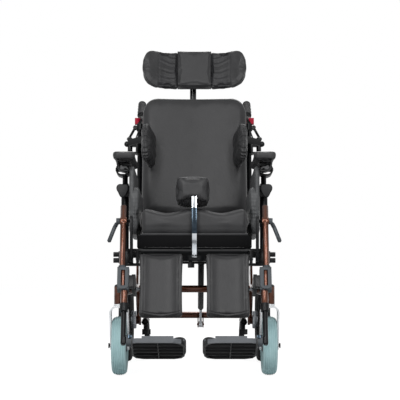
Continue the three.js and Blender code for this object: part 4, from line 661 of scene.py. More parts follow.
def tyre_section(half, outside, seat, groove_gap, groove_depth, tread_half):
    """The outline of a tyre's section, bead to bead, at the top of the wheel."""
    middle = (outside + seat) / 2
    rise = (outside - seat) / 2
    points = []
    for i in range(section_steps + 1):
        turn = pi * i / section_steps
        x = -half * cos(turn)
        height = rise * abs(sin(turn)) ** section_fullness
        off_groove = abs((x / groove_gap) % 1 - 0.5)
        grooved = abs(x) < tread_half and off_groove < groove_share / 2
        points.append(Vector((x, 0, middle + height - (groove_depth if grooved else 0))))
    points += [Vector((side * bead_share * half, 0, seat)) for side in (1, -1)]
    shape = bmesh.new()
    corners = [shape.verts.new(p) for p in points]
    for a, b in zip(corners, corners[1:] + corners[:1]):
        shape.edges.new((a, b))
    return shape


def spun(shape, steps):
    """A section turned once round the X axis and closed."""
    bmesh.ops.spin(shape, geom=shape.verts[:] + shape.edges[:], cent=(0, 0, 0), axis=(1, 0, 0),
                   angle=2 * pi, steps=steps, use_merge=True)
    bmesh.ops.remove_doubles(shape, verts=shape.verts, dist=weld)
    bmesh.ops.recalc_face_normals(shape, faces=shape.faces)
    return shape


shape = spun(tyre_section(half=25 * mm, outside=caster_radius, seat=caster_seat,
                          groove_gap=6 * mm, groove_depth=2.2 * mm, tread_half=20 * mm),
             caster_steps)
both_sides("caster_tyre_ribbed_left", shape, [grey_rubber], caster_hub,
           body_of_node["caster_tyre_left"], "grey_tyre", "caster_tyre_left")
print("caster tyres:", round(2 * caster_radius / mm), "mm, a rib every 6 mm")

# %% [markdown]
# ## Treaded tyres
# The rear tyres are black, and their shoulders carry blocks. A tread like this is moulded as
# gaps in a smooth tyre. So every third field of the shoulder is pushed in, and the blocks are
# what is left standing.

# %% Spin the rear tyres
rear_radius = 157 * mm
rear_seat = 119.3 * mm
rear_steps = 96
block_rhythm = 3
shoulder_from, shoulder_to = 11 * mm, 19 * mm
shoulder_radius = 140 * mm
gap_scale = (0.96, 0.985, 0.985)

shape = spun(tyre_section(half=22 * mm, outside=rear_radius, seat=rear_seat,
                          groove_gap=7 * mm, groove_depth=2 * mm, tread_half=shoulder_from),
             rear_steps)
gaps = []
for face in shape.faces:
    middle = face.calc_center_median()
    field = int(atan2(middle.z, middle.y) / (2 * pi) * rear_steps + rear_steps)
    on_shoulder = (shoulder_from < abs(middle.x) < shoulder_to
                   and hypot(middle.y, middle.z) > shoulder_radius)
    if on_shoulder and field % block_rhythm == 0:
        gaps.append(face)
pushed = bmesh.ops.extrude_face_region(shape, geom=gaps)["geom"]
sunk = [v for v in pushed if isinstance(v, bmesh.types.BMVert)]
bmesh.ops.scale(shape, vec=gap_scale, verts=sunk)
bmesh.ops.delete(shape, geom=gaps, context="FACES")
bmesh.ops.recalc_face_normals(shape, faces=shape.faces)
both_sides("rear_tyre_treaded_left", shape, [black_rubber], rear_hub,
           body_of_node["rear_tyre_left"], "black_rubber", "rear_tyre_left")
print("rear tyres:", round(2 * rear_radius / mm), "mm,", len(gaps), "fields pushed in")

# %% [markdown]
# ## Plain bars and sheets
# Axles, bolts and stems are turned bars. A cone with equal ends is a cylinder, and its two rims
# are softened. The same softening serves every small part later, so the rims of a shape are
# found by a helper: they are the edges where two faces meet almost squarely. A sheet is drawn
# without thickness and gets it afterwards.

# %% Turned bars and thick sheets
rim_angle = radians(65)


def edges_of(verts):
    """The edges that meet some points, each once and in a fixed order."""
    return list(dict.fromkeys(e for v in verts for e in v.link_edges))


def rims(edges):
    """Those of some edges where two faces meet almost squarely."""
    return [e for e in edges if bend_of(e) > rim_angle]


def turned_bar(shape, start, end, radius, sides=24, softness=0.6 * mm):
    """A plain round bar between two points, its two rims softened."""
    run = end - start
    turn = Vector((0, 0, 1)).rotation_difference(run).to_matrix().to_4x4()
    made = bmesh.ops.create_cone(shape, cap_ends=True, segments=sides, radius1=radius,
                                 radius2=radius, depth=run.length,
                                 matrix=Matrix.Translation((start + end) / 2) @ turn)["verts"]
    return soften(shape, rims(edges_of(made)), softness)


def thickened(sheet, thickness):
    """A sheet of no thickness made solid, its faces turned outwards."""
    bmesh.ops.solidify(sheet, geom=sheet.faces[:], thickness=thickness)
    bmesh.ops.recalc_face_normals(sheet, faces=sheet.faces)
    return sheet


print("rims are edges sharper than", round(rim_angle / radians(1)), "degrees")

# %% [markdown]
# ## Caster forks
# A fork of this kind is one steel strap, pressed wide at the crown and narrow at the axle, and
# bent down on both sides with a generous radius. A flat grid is laid along the strap's middle
# line, given the strap's width from place to place, and solidified to the steel's thickness.

# %% Bend the forks
fork_half = 32 * mm
fork_steel = 6 * mm
fork_bend = 24 * mm
crown_level = 241 * mm
crown_top = crown_level - fork_steel / 2
axle_level = caster_radius
caster_trail = 45 * mm
crown_width = 46 * mm
eye_width = 30 * mm
swivel = joints["caster_swivel_left"]["pos_m"]
swivel_space = Matrix.Translation((swivel[0], swivel[1], 0))


def along_strap(share):
    """A place on the strap's middle line, seen from the front, from one eye (-1) to the other."""
    sense = 1 if share > 0 else -1
    straight = crown_top - fork_bend - axle_level + eye_width / 2
    corner = pi / 2 * fork_bend
    flat = fork_half - fork_bend
    run = abs(share) * (flat + corner + straight)
    if run < flat:
        return sense * run, crown_top
    if run < flat + corner:
        turn = (run - flat) / fork_bend
        return sense * (flat + fork_bend * sin(turn)), crown_top - fork_bend * (1 - cos(turn))
    return sense * fork_half, crown_top - fork_bend - (run - flat - corner)


def fork_strap():
    """The bent strap, its thickness centred on its middle line."""
    shape = bmesh.new()
    bmesh.ops.create_grid(shape, x_segments=72, y_segments=6, size=1)
    for v in shape.verts:
        x, z = along_strap(v.co.x)
        down = min(max((crown_top - z) / (crown_top - axle_level), 0), 1)
        width = crown_width + (eye_width - crown_width) * down
        below = max(axle_level - z, 0)
        if below > 0:
            width = 2 * sqrt(max((eye_width / 2) ** 2 - below ** 2, 0))
        v.co = Vector((x, caster_trail * down + v.co.y * width / 2, z))
    bmesh.ops.remove_doubles(shape, verts=shape.verts, dist=weld)
    bmesh.ops.recalc_face_normals(shape, faces=shape.faces)
    thickened(shape, fork_steel)
    low, high = min(v.co.x for v in shape.verts), max(v.co.x for v in shape.verts)
    bmesh.ops.translate(shape, vec=(-(low + high) / 2, 0, 0), verts=shape.verts)
    return shape


shape = fork_strap()
print("fork strap", round(fork_steel / mm), "mm thick, bent round", round(fork_bend / mm), "mm")

# %% [markdown]
# ## Stem and axle
# The strap is welded to a collar and to a stem that turns in the head tube, all in one coat of
# enamel. The axle passes through both eyes, with a hexagonal head at each end. It goes in last,
# so that every face after the welded ones is black.

# %% Add the stems and axles
collar_radius, stem_radius, axle_radius = 17.5 * mm, 12 * mm, 6 * mm
head_tube_low, stem_top = 245 * mm, 302 * mm
head_clearance = 0.4 * mm
bolt_radius, bolt_height = 10 * mm, 4 * mm
crown = Vector((0, 0, crown_top))
axle_reach = fork_half + fork_steel / 2

turned_bar(shape, crown, Vector((0, 0, head_tube_low - head_clearance)), collar_radius)
turned_bar(shape, crown, Vector((0, 0, stem_top)), stem_radius)
welded_faces = len(shape.faces)
for side in (-1, 1):
    head_from = Vector((side * axle_reach, caster_trail, axle_level))
    turned_bar(shape, head_from, head_from + Vector((side * bolt_height, 0, 0)), bolt_radius,
               sides=6)
turned_bar(shape, Vector((-axle_reach, caster_trail, axle_level)),
           Vector((axle_reach, caster_trail, axle_level)), axle_radius)
shape.faces.ensure_lookup_table()
for face in shape.faces[welded_faces:]:
    face.material_index = 1
both_sides("caster_fork_finished_left", shape, [silver_paint, black_paint], swivel_space,
           body_of_node["caster_fork_left"], "bright_steel", "caster_fork_left")
print("fork stems end", round(stem_top / mm), "mm above the floor")

# %% [markdown]
# ## Leatherette
# The upholstery is a coated fabric: a polyurethane skin, embossed with a fine leather grain, on
# a knitted backing. It gives a soft wide highlight and almost no colour. The emboss is a cell
# pattern with creases between the cells. At 1.8 mm it is drawn a little coarser than the real
# 1 mm grain, so that it still shows as a soft break-up of the highlight from a step away.

# %% The upholstery finish
grain_cell = 1.8 * mm
crease_width = 0.25
handling_patch = 70 * mm
pucker = 9 * mm
pucker_depth, emboss_depth, pore_depth = 0.5 * mm, 0.1 * mm, 0.05 * mm


def leatherette_finish(name, colours, roughness):
    """A coated fabric: handled patches, loose puckers, an embossed grain and fine pores."""
    material, tree = empty_material(name)
    object_place = add(tree, "TexCoord").outputs["Object"]
    drift = add(tree, "TexNoise", {"Scale": per_metre(handling_patch), "Detail": 4.0},
                {"Vector": object_place})
    cells = add(tree, "TexVoronoi", {"feature": "DISTANCE_TO_EDGE", "Scale": per_metre(grain_cell)},
                {"Vector": object_place})
    pores = add(tree, "TexNoise", {"Scale": per_metre(grain_cell / 2), "Detail": 2.0},
                {"Vector": object_place})
    slack = add(tree, "TexNoise", {"Scale": per_metre(pucker), "Detail": 2.0},
                {"Vector": object_place})
    crease = add(tree, "MapRange", {"From Max": crease_width}, {"Value": cells.outputs["Distance"]})
    colour = ramp(tree, drift.outputs["Fac"], list(zip(rough_span, colours)))
    rough = add(tree, "MapRange", {"From Min": rough_span[0], "From Max": rough_span[1],
                                   "To Min": roughness[0], "To Max": roughness[1]},
                {"Value": drift.outputs["Fac"]})
    coarse = add(tree, "Bump", {"Strength": 0.6, "Distance": pucker_depth},
                 {"Height": slack.outputs["Fac"]})
    emboss = add(tree, "Bump", {"Strength": 0.7, "Distance": emboss_depth},
                 {"Height": crease.outputs[0], "Normal": coarse.outputs[0]})
    pitted = add(tree, "Bump", {"Strength": 0.5, "Distance": pore_depth},
                 {"Height": pores.outputs["Fac"], "Normal": emboss.outputs[0]})
    shader = add(tree, "BsdfPrincipled", {"Specular IOR Level": 0.2},
                 {"Base Color": colour, "Roughness": rough.outputs[0], "Normal": pitted.outputs[0]})
    add(tree, "OutputMaterial", links={"Surface": shader.outputs[0]})
    return material


# Charcoal, the cover of seat and back
leatherette = leatherette_finish("embossed_charcoal_leatherette", ("#2c2c2d", "#353536"),
                                 roughness=(0.36, 0.46))
# Nearly black: for piping, and as painted shade on the half of a wing beside its hinge and on the base
# under the seat cushion
piping_and_shade_leatherette = leatherette_finish("embossed_black_leatherette", ("#1e1e1f", "#29292b"),
                                      roughness=(0.34, 0.46))
# The same charcoal painted lighter, as painted light on the side guards and hip bolsters that face the
# front
lit_leatherette = leatherette_finish("embossed_slate_leatherette", ("#404142", "#4d4e4f"),
                                      roughness=(0.36, 0.46))
print("leather grain of", round(grain_cell / mm, 1), "mm")

# %% [markdown]
# ## How the cushions are made
# A trimmer cuts a foam block, pulls a cover over it and closes the seams, and the foam pushes
# back. Here a block is cut to the room that the frame keeps for it, its outline and rim are
# rounded, and it is remeshed evenly. Then it is treated as cloth with a little air pressure
# inside, which swells the faces and pulls the sides in between the corners, as foam does. How
# far a point may move is capped, so that the pad still fits its place. Seams and folds follow
# afterwards, because they are finer than the remesh.

# %% Cut a foam block
corner_steps, rim_steps = 6, 3


def foam_block(low, high, thin, corner, rim):
    """A block between two corners, its outline rounded seen along the thin axis, and its rim."""
    shape = bmesh.new()
    bmesh.ops.create_cube(shape, size=1)
    bmesh.ops.scale(shape, vec=high - low, verts=shape.verts)
    bmesh.ops.translate(shape, vec=(high + low) / 2, verts=shape.verts)

    def runs_thin(edge):
        run = edge.verts[1].co - edge.verts[0].co
        return abs(run[thin]) > 0.999 * run.length

    soften(shape, [e for e in shape.edges if runs_thin(e)], corner, corner_steps)
    return soften(shape, rims(shape.edges), rim, rim_steps)


print("a block's corners are rounded in", corner_steps, "steps, its rim in", rim_steps)

# %% [markdown]
# ## An even skin
# Cloth swells evenly only where its mesh is even. So each block is turned into a skin of small
# squares, and put on a list that waits for the stuffing. A pad that is round at one end gets
# that outline here, before it swells.

# %% Remesh a block and round its ends
waiting = []


def applied(piece):
    """The piece with what its modifiers make of it as its own mesh."""
    bpy.context.view_layer.update()
    graph = bpy.context.evaluated_depsgraph_get()
    skin = bpy.data.meshes.new_from_object(piece.evaluated_get(graph))
    piece.modifiers.clear()
    piece.data = skin
    return piece


def remeshed(name, shape, voxel):
    """The block as an even skin of small squares."""
    piece = new_piece(name, shape, [leatherette])
    remesh = piece.modifiers.new("even_skin", "REMESH")
    remesh.mode = "VOXEL"
    remesh.voxel_size = voxel
    remesh.use_smooth_shade = True
    return applied(piece)


def foam(name, low, high, thin, corner, rim, voxel, swell):
    """A remeshed block, a little smaller than its room, that waits for its stuffing."""
    give = Vector((swell, swell, swell)) * 0.5
    piece = remeshed(name, foam_block(low + give, high - give, thin, corner, rim), voxel)
    waiting.append((piece, swell))
    return piece


def rounded_end(piece, axis, sense, upper, lower):
    """Rounds one end of a pad's outline, with a radius of its own above and below."""
    points = piece.data.vertices
    reach = max(sense * v.co[axis] for v in points)
    top, bottom = max(v.co.z for v in points), min(v.co.z for v in points)
    middle = (top + bottom) / 2
    for v in points:
        edge, radius = (top - middle, upper) if v.co.z > middle else (middle - bottom, lower)
        along = sense * v.co[axis] - (reach - radius)
        if along > 0:
            left = edge - radius + sqrt(max(radius ** 2 - along ** 2, 0))
            v.co.z = middle + (v.co.z - middle) * left / edge
    return piece


print("the back cushion's room is", round((back_high - back_low).y / mm), "mm thick")

# %% [markdown]
# ## Cutting the blocks
# Each block takes its size from the room in the frame, measured square in its own space. The
# seat and back cushions are large and fairly flat, so they may swell most. The narrow pads are
# remeshed finer, because their folds come closer together.

# %% Seat and back blocks
wide_skin, narrow_skin = 6 * mm, 4 * mm
back_overlap = 6 * mm

seat_low, seat_high = room("seat_cushion", seat_space)
seat_pad = foam("seat_cushion_cover", seat_low, seat_high, thin=2, corner=16 * mm, rim=13 * mm,
                voxel=wide_skin, swell=6 * mm)
back_high.z += back_overlap
back_pad = foam("back_cushion_cover", back_low, back_high, thin=1, corner=26 * mm, rim=22 * mm,
                voxel=wide_skin, swell=6 * mm)
for side in (-1, 1):
    rounded_end(back_pad, axis=0, sense=side, upper=62 * mm, lower=26 * mm)
print("seat and back skins:", len(seat_pad.data.vertices), "and", len(back_pad.data.vertices), "points")

# %% [markdown]
# ## Head rest and its wings
# The head rest is a flat centre pad between two wings that are round on the outside, tighter
# above than below. The wings meet the centre pad at a hinge, so their inner edges stay square
# and close, while the outer edges are softly rounded. The frame's wing is a plain block beside
# its hinge, and the pad reaches past it on three sides, to where the photograph shows it.

# %% Head-rest blocks
closeness = 1.5 * mm
wing_turn = radians(14)
wing_overlaps = {"hinge": 3 * mm, "below": 8 * mm, "above": 3 * mm}
wing_plate = -7 * mm

head_low, head_high = room("headrest_pad", head_space)
head_low.x -= closeness
head_high.x += closeness
head_pad = foam("headrest_centre_cover", head_low, head_high, thin=1, corner=4 * mm, rim=6 * mm,
                voxel=narrow_skin, swell=3 * mm)

wing_axis = Vector(joints["headrest_wing_left"]["axis"])
wing_up = wing_axis if wing_axis.z > 0 else -wing_axis
wing_space = (space_at(joints["headrest_wing_left"]["pos_m"], wing_up)
              @ Matrix.Rotation(-wing_turn, 4, "Z"))
wing_low, wing_high = room("headrest_wing_left", wing_space)
wing_low.x = -wing_overlaps["hinge"]
wing_low.z -= wing_overlaps["below"]
wing_high.z += wing_overlaps["above"]
wing_high.y = wing_plate
wing_pad = foam("headrest_wing_cover_left", wing_low, wing_high, thin=1, corner=3 * mm,
                rim=10 * mm, voxel=narrow_skin, swell=5 * mm)
rounded_end(wing_pad, axis=0, sense=1, upper=38 * mm, lower=58 * mm)
print("wings reach", round((wing_high.x - wing_low.x) / mm), "mm out")

# %% [markdown]
# ## Side supports, arm rests and hip bolsters
# The side supports stand upright beside the ribs and are fully round at the front. The arm
# rests are long soft bars. Beside the seat there is an upholstered board, and a bolster for the
# hip is fixed low on its inner face.

# %% Side support, arm and hip blocks
support_turn = radians(10)
support_offset = Vector((-74.3, -169, -42)) * mm
board_thickness = 17 * mm
board_lift = 60 * mm
hip_height = 168 * mm
hip_setback = 30 * mm

support_space = (lateral_space @ Matrix.Translation(support_offset)
                 @ Matrix.Rotation(support_turn, 4, "Z"))
support_low, support_high = room("lateral_pad_left", support_space)
support_low.y -= 2 * mm
support_pad = foam("lateral_support_cover_left", support_low, support_high, thin=0,
                   corner=22 * mm, rim=8 * mm, voxel=narrow_skin, swell=6 * mm)
rounded_end(support_pad, axis=1, sense=-1, upper=40 * mm, lower=34 * mm)

arm_low, arm_high = room("arm_pad_left", seat_space)
arm_rest = foam("arm_rest_pad_left", arm_low, arm_high, thin=2, corner=20 * mm, rim=8 * mm,
                voxel=narrow_skin, swell=4 * mm)

guard_low, guard_high = room("side_guard_left", seat_space)
guard_high.x += 3 * mm
board_low = Vector((guard_high.x - board_thickness, guard_low.y, guard_low.z + board_lift))
guard_board = foam("side_guard_panel_left", board_low, guard_high, thin=0, corner=34 * mm,
                   rim=7 * mm, voxel=narrow_skin, swell=2 * mm)
hip_low = Vector((guard_low.x - 4 * mm, guard_low.y - 2 * mm, guard_low.z))
hip_high = Vector((guard_high.x, guard_high.y - hip_setback, guard_low.z + hip_height))
hip_pad = foam("hip_bolster_left", hip_low, hip_high, thin=0, corner=34 * mm, rim=7 * mm,
               voxel=narrow_skin, swell=3 * mm)
print("arm rests", round((arm_high.y - arm_low.y) / mm), "mm long")

# %% [markdown]
# ## Pommel and calf pads
# The pommel is a thick block that keeps the knees apart. The calf pads are boards with a
# shallow dish for the calf.

# %% Pommel and calf blocks
pommel_lift = 3 * mm
calf_thickness = 38 * mm

pommel_low, pommel_high = room("abductor_pad", seat_space)
pommel_low.z += pommel_lift
pommel = foam("pommel_cover", pommel_low, pommel_high, thin=1, corner=10 * mm, rim=9 * mm,
              voxel=narrow_skin, swell=5 * mm)

calf_low, calf_high = room("calf_pad_left", calf_space)
calf_low.x -= 7 * mm
calf_high.x += 1 * mm
calf_high.y = calf_low.y + calf_thickness
calf_pad = foam("calf_pad_cover_left", calf_low, calf_high, thin=1, corner=13 * mm, rim=9 * mm,
                voxel=narrow_skin, swell=4 * mm)
print("blocks waiting:", len(waiting))

# %% [markdown]
# ## Stuffing
# All the blocks are simulated at once over twenty frames, with gravity off, because a pad that
# is screwed to its board doesn't hang. The swollen shape is then read back, and each point's
# move is capped.

# %% Swell the blocks
pressure = 4
frames = 20
cloth_settings = {"quality": 4, "mass": 0.3, "tension_stiffness": 15,
                  "compression_stiffness": 15, "shear_stiffness": 5, "bending_stiffness": 0.5,
                  "use_pressure": True, "uniform_pressure_force": pressure}


def swell_blocks(pads):
    """Blows the pads up as cloth and keeps the shape that they reach."""
    for piece, cap in pads:
        cloth = piece.modifiers.new("stuffing", "CLOTH")
        for name, value in cloth_settings.items():
            setattr(cloth.settings, name, value)
        cloth.settings.effector_weights.gravity = 0
        cloth.point_cache.frame_start = 1
        cloth.point_cache.frame_end = frames
    for step in range(1, frames + 1):
        bpy.context.scene.frame_set(step)
    graph = bpy.context.evaluated_depsgraph_get()
    for piece, cap in pads:
        swollen = [v.co.copy() for v in piece.evaluated_get(graph).data.vertices]
        piece.modifiers.clear()
        for vertex, place_now in zip(piece.data.vertices, swollen):
            move = place_now - vertex.co
            if move.length > cap:
                move *= cap / move.length
            vertex.co += move
    bpy.context.scene.frame_set(1)


swell_blocks(waiting)
print("stuffed", len(waiting), "pads")

# %% [markdown]
# ## Rules for folds and grooves
# What makes a pad look sewn is small: a welt along a seam, and folds where a cover is gathered.
# A rule moves each point of the skin by its place and its outward direction, so a groove or a
# fold is a short formula. Two soft steps are enough to say where it begins and ends.

# %% Rules
def shaped(piece, rule):
    """Moves every point of a pad by a rule of its place and its outward direction."""
    normals = [v.normal.copy() for v in piece.data.vertices]
    for vertex, normal in zip(piece.data.vertices, normals):
        vertex.co = rule(vertex.co.copy(), normal)
    piece.data.update()
    return piece


def refined(piece):
    """One real subdivision, for a skin that needs folds finer than its remesh."""
    smooth = piece.modifiers.new("finer_skin", "SUBSURF")
    smooth.levels = smooth.render_levels = 1
    return applied(piece)


def bump_at(value, middle, half_width):
    """1 at the middle, falling smoothly to 0 at half_width away."""
    share = abs(value - middle) / half_width
    return 0 if share >= 1 else (1 + cos(pi * share)) / 2


def step_up(value, start, end):
    """0 before start, 1 after end, smooth between."""
    share = min(max((value - start) / (end - start), 0), 1)
    return share * share * (3 - 2 * share)


print("a soft step is", step_up(0.5, 0, 1), "halfway and", round(step_up(0.2, 0, 1), 3), "at a fifth")

# %% [markdown]
# ## Lines on a pad
# A seam is the line where a plane meets the finished skin. Cutting a copy of the skin with that
# plane gives edges in no order, so they are followed from one to the next. The line is then
# spaced evenly.

# %% Find a seam line
def line_where(piece, point, direction):
    """The points where a plane cuts a pad's skin, in order."""
    shape = bmesh.new()
    shape.from_mesh(piece.data)
    found = bmesh.ops.bisect_plane(shape, geom=shape.verts[:] + shape.edges[:] + shape.faces[:],
                                   plane_co=point, plane_no=direction)
    cut = [e for e in found["geom_cut"] if isinstance(e, bmesh.types.BMEdge)]
    joined = {}
    for edge in cut:
        for vertex in edge.verts:
            joined.setdefault(vertex, []).append(edge)
    ends = [v for v, edges in joined.items() if len(edges) == 1]
    here = ends[0] if ends else cut[0].verts[0]
    line, used = [here.co.copy()], set()
    while True:
        ahead = [e for e in joined[here] if e not in used]
        if not ahead:
            break
        used.add(ahead[0])
        here = ahead[0].other_vert(here)
        line.append(here.co.copy())
    shape.free()
    return line


def spaced(points, gap):
    """The same line with points at an even real distance."""
    line, left = [points[0]], gap
    for a, b in zip(points, points[1:]):
        run = (b - a).length
        while run > 0 and left <= run:
            a = a + (b - a) * (left / run)
            line.append(a)
            run = (b - a).length
            left = gap
        left -= run
    return line


a_metre = [Vector((0, 0, 0)), Vector((1, 0, 0))]
print("a metre in steps of 0.4 m has", len(spaced(a_metre, 0.4)), "points")

# %% [markdown]
# ## Piping
# Piping is a cord wrapped in the cover's leather and sewn into a seam. A ring of points is
# carried along the line and turned with it, and its two ends are closed.

# %% Make a cord and a piping
cord_sides = 8
cord_step = 4 * mm


def cord(points, radius):
    """A round cord along a line: one ring of points, carried from point to point and skinned."""
    shape = bmesh.new()
    ahead = (points[1] - points[0]).normalized()
    turn = Vector((0, 0, 1)).rotation_difference(ahead)
    ring = bmesh.ops.create_circle(shape, cap_ends=True, segments=cord_sides, radius=radius)["verts"]
    bmesh.ops.rotate(shape, cent=(0, 0, 0), matrix=turn.to_matrix(), verts=ring)
    bmesh.ops.translate(shape, vec=points[0], verts=ring)
    edges = edges_of(ring)
    for i in range(1, len(points)):
        here = points[i]
        after = (points[min(i + 1, len(points) - 1)] - points[i - 1]).normalized()
        moved = bmesh.ops.extrude_edge_only(shape, edges=edges)["geom"]
        ring = [g for g in moved if isinstance(g, bmesh.types.BMVert)]
        edges = [g for g in moved if isinstance(g, bmesh.types.BMEdge)]
        bmesh.ops.translate(shape, vec=here - points[i - 1], verts=ring)
        bmesh.ops.rotate(shape, cent=here, matrix=ahead.rotation_difference(after).to_matrix(),
                         verts=ring)
        ahead = after
    bmesh.ops.contextual_create(shape, geom=edges)
    bmesh.ops.recalc_face_normals(shape, faces=shape.faces)
    return shape


def piping(name, line, radius, space, body):
    """A cord of dark leatherette along a line on a pad."""
    shape = cord(spaced(line, cord_step), radius)
    return place(new_piece(name, shape, [piping_and_shade_leatherette], space), body, "leatherette")


print("piping has", cord_sides, "sides and a ring every", round(cord_step / mm), "mm")

# %% [markdown]
# ## Fitting a finished pad
# A pad is cut in its working space and turned into place only now. It rides on one body.

# %% Upholster
def upholster(piece, space, body, fill, *nodes, material=None, panel=None, subdivide=True):
    """Puts a finished pad in its place, as one more padded piece of the chair.

    panel, if given, is a second leatherette and the test of the places that take it; the wings take it
    as painted shade.
    """
    piece.data.materials.clear()
    piece.data.materials.append(material or leatherette)
    if panel:
        piece.data.materials.append(panel[0])
        for face in piece.data.polygons:
            face.material_index = int(panel[1](face.center))
    piece.data.transform(space)
    piece.data.shade_smooth()
    if subdivide:
        smooth = piece.modifiers.new("smooth_skin", "SUBSURF")
        smooth.levels = smooth.render_levels = 1
    place(piece, body, "leatherette", *nodes)
    return piece


def upholster_pair(piece, space, body, fill, *nodes, **finish):
    """A left pad in its place, and its twin."""
    left = upholster(piece, space, body, fill, *nodes, **finish)
    twin(left)


print("pads to fit:", len(waiting))

# %% [markdown]
# ## Seat cushion
# The cushion is contoured: a shallow trough for each thigh, a ridge between them that rises
# towards the pommel, and firm sides. The troughs are deepest at the front and fade out halfway
# back. The front face rolls under, and a seam runs round it where the cover is closed.

# %% Shape and place the seat cushion
trough_depth = 16 * mm
trough_end, trough_fade = 0.62, 0.5
top_edge = 10 * mm
roll_level, roll_height, roll_in = 34 * mm, 30 * mm, 9 * mm
seam_level, seam_depth, seam_width = 30 * mm, 1.8 * mm, 5 * mm
seat_half = (seat_high.x - seat_low.x) / 2
seat_length = seat_high.y - seat_low.y


def seat_rule(co, normal):
    """Two troughs on the top, a front face that rolls under, and a seam round the side."""
    forward = step_up(seat_low.y + seat_length * trough_end - co.y, 0, seat_length * trough_fade)
    top = step_up(co.z, seat_low.z + seam_level, seat_high.z - top_edge)
    share = min(abs(co.x) / seat_half, 1)
    co.z -= trough_depth * forward * top * (1 - cos(2 * pi * share)) / 2
    below = step_up(seat_low.z + roll_level - co.z, 0, roll_height)
    co.y += roll_in * below * step_up(-co.y, -seat_low.y - roll_height, -seat_low.y)
    seam = bump_at(co.z, seat_low.z + seam_level, seam_width) * normal.xy.length
    return co - normal * seam_depth * seam


upholster(shaped(seat_pad, seat_rule), seat_space, "seat", 0.7, "seat_cushion")
print("thigh troughs", round(trough_depth / mm), "mm deep")

# %% [markdown]
# ## Back cushion
# The back is one wide pad with generous corners. It is hollow between its sides, so that it
# holds the sitter, and that hollow is what makes the middle catch more light than the flanks.
# A seam follows the middle of its edge.

# %% Shape and place the back cushion
hollow_depth = 14 * mm
hollow_share = 0.8
back_half = (back_high.x - back_low.x) / 2
back_seam = (back_low.y + back_high.y) / 2 + 8 * mm


def back_rule(co, normal):
    """A hollow between the sides and a seam along the edge."""
    share = min(abs(co.x) / (back_half * hollow_share), 1)
    co.y += hollow_depth * max(-normal.y, 0) * (cos(pi * share) + 1) / 2
    seam = bump_at(co.y, back_seam, seam_width) * (1 - abs(normal.y))
    return co - normal * seam_depth * seam


upholster(shaped(back_pad, back_rule), back_space, "back", 0.65, "back_cushion")
print("back cushion hollow", round(hollow_depth / mm), "mm")

# %% [markdown]
# ## Head rest
# The cover of the centre pad is drawn tight and piped where it meets the wings. Each wing has a
# cover with too much cloth for its curve, so it lies in soft folds that start at the hinge and
# run out, and its front is hollow for the side of the head.

# %% Shape and place the head rest
fine_seam = 1.2 * mm
head_seam_inset, head_seam_width = 9 * mm, 3.5 * mm
head_piping_inset, head_piping_radius = 4 * mm, 1.6 * mm
fold_gap = 19 * mm
fold_depth = 0.8 * mm
fold_fan = 0.45
fold_wander = 5 * mm
pull_gap = 22 * mm
wing_hollow = 12 * mm
panel_share = 0.56
panel_seam_share = 0.04
head_half_x = (head_high.x - head_low.x) / 2
wing_reach = wing_high.x - wing_low.x
wing_mid_z = (wing_low.z + wing_high.z) / 2


def head_rule(co, normal):
    """A fine seam beside each piping."""
    seam = bump_at(abs(co.x), head_half_x - head_seam_inset, head_seam_width) * (1 - abs(normal.x))
    return co - normal * fine_seam * seam


def wing_rule(co, normal):
    """A hollow front, a seam between the two panels, and folds that fan out from the hinge."""
    share = (co.x - wing_low.x) / wing_reach
    seam = bump_at(share, panel_share, panel_seam_share)
    height = co.z - wing_mid_z
    front = max(-normal.y, 0)
    co.y += wing_hollow * front * sin(pi * min(max(share, 0), 1) ** 0.8)
    near_hinge = 1 - step_up(share, 0.1, 0.65)
    edge = 1 - abs(normal.y)
    # The folds spread towards the outer end and wander up and down a little on the way
    slant = height * (1 - fold_fan * share) + fold_wander * sin(2 * pi * share * 1.3)
    # A finer wave out of step with the first, so that no two folds are alike
    fold = sin(2 * pi * slant / fold_gap) + 0.5 * sin(2 * pi * slant / fold_gap * 1.7 + 1.1)
    # Short folds across the outer end, where the cover is pulled round the curve
    pull = sin(2 * pi * share * 3.1 + height / pull_gap) * step_up(share, 0.35, 0.7)
    folds = fold_depth * (fold * (0.25 + near_hinge + 0.4 * edge) * 0.6 + 0.5 * pull)
    return co + normal * (folds - fine_seam * seam)


def shaded_inner_half(point):
    """The half of a wing next to its hinge, which takes the darker leatherette as painted shade."""
    return point.x < wing_low.x + panel_share * wing_reach


shaped(refined(head_pad), head_rule)
for side, name in ((-1, "headrest_piping_right"), (1, "headrest_piping_left")):
    line = line_where(head_pad, (side * (head_half_x - head_piping_inset), 0, 0), (1, 0, 0))
    piping(name, line, head_piping_radius, head_space, "head")
upholster(head_pad, head_space, "head", 0.75, "headrest_pad", subdivide=False)
# The half of each wing beside its hinge gets the darker leatherette as painted shade.
upholster_pair(shaped(refined(wing_pad), wing_rule), wing_space, "head_wing_left", 0.6,
               "headrest_wing_left", panel=(piping_and_shade_leatherette, shaded_inner_half), subdivide=False)
print("head rest: folds every", round(fold_gap / mm), "mm")

# %% [markdown]
# ## Side supports
# The cover of a side support is a bag that is gathered by a cord round its edge and laced
# behind. Gathering leaves short folds all round the rim that die out towards the middle of the
# face. The angle round the pad's middle counts the folds.

# %% Shape and place the side supports
rim_folds = 30
rim_fold_depth, face_fold_depth = 2.3 * mm, 0.8 * mm
face_fold_gap = 27 * mm
calm_radius, folded_radius = 22 * mm, 58 * mm
stray_gaps = (13 * mm, 29 * mm)
cord_depth, cord_width = 2.2 * mm, 4 * mm
support_mid = (support_low + support_high) / 2


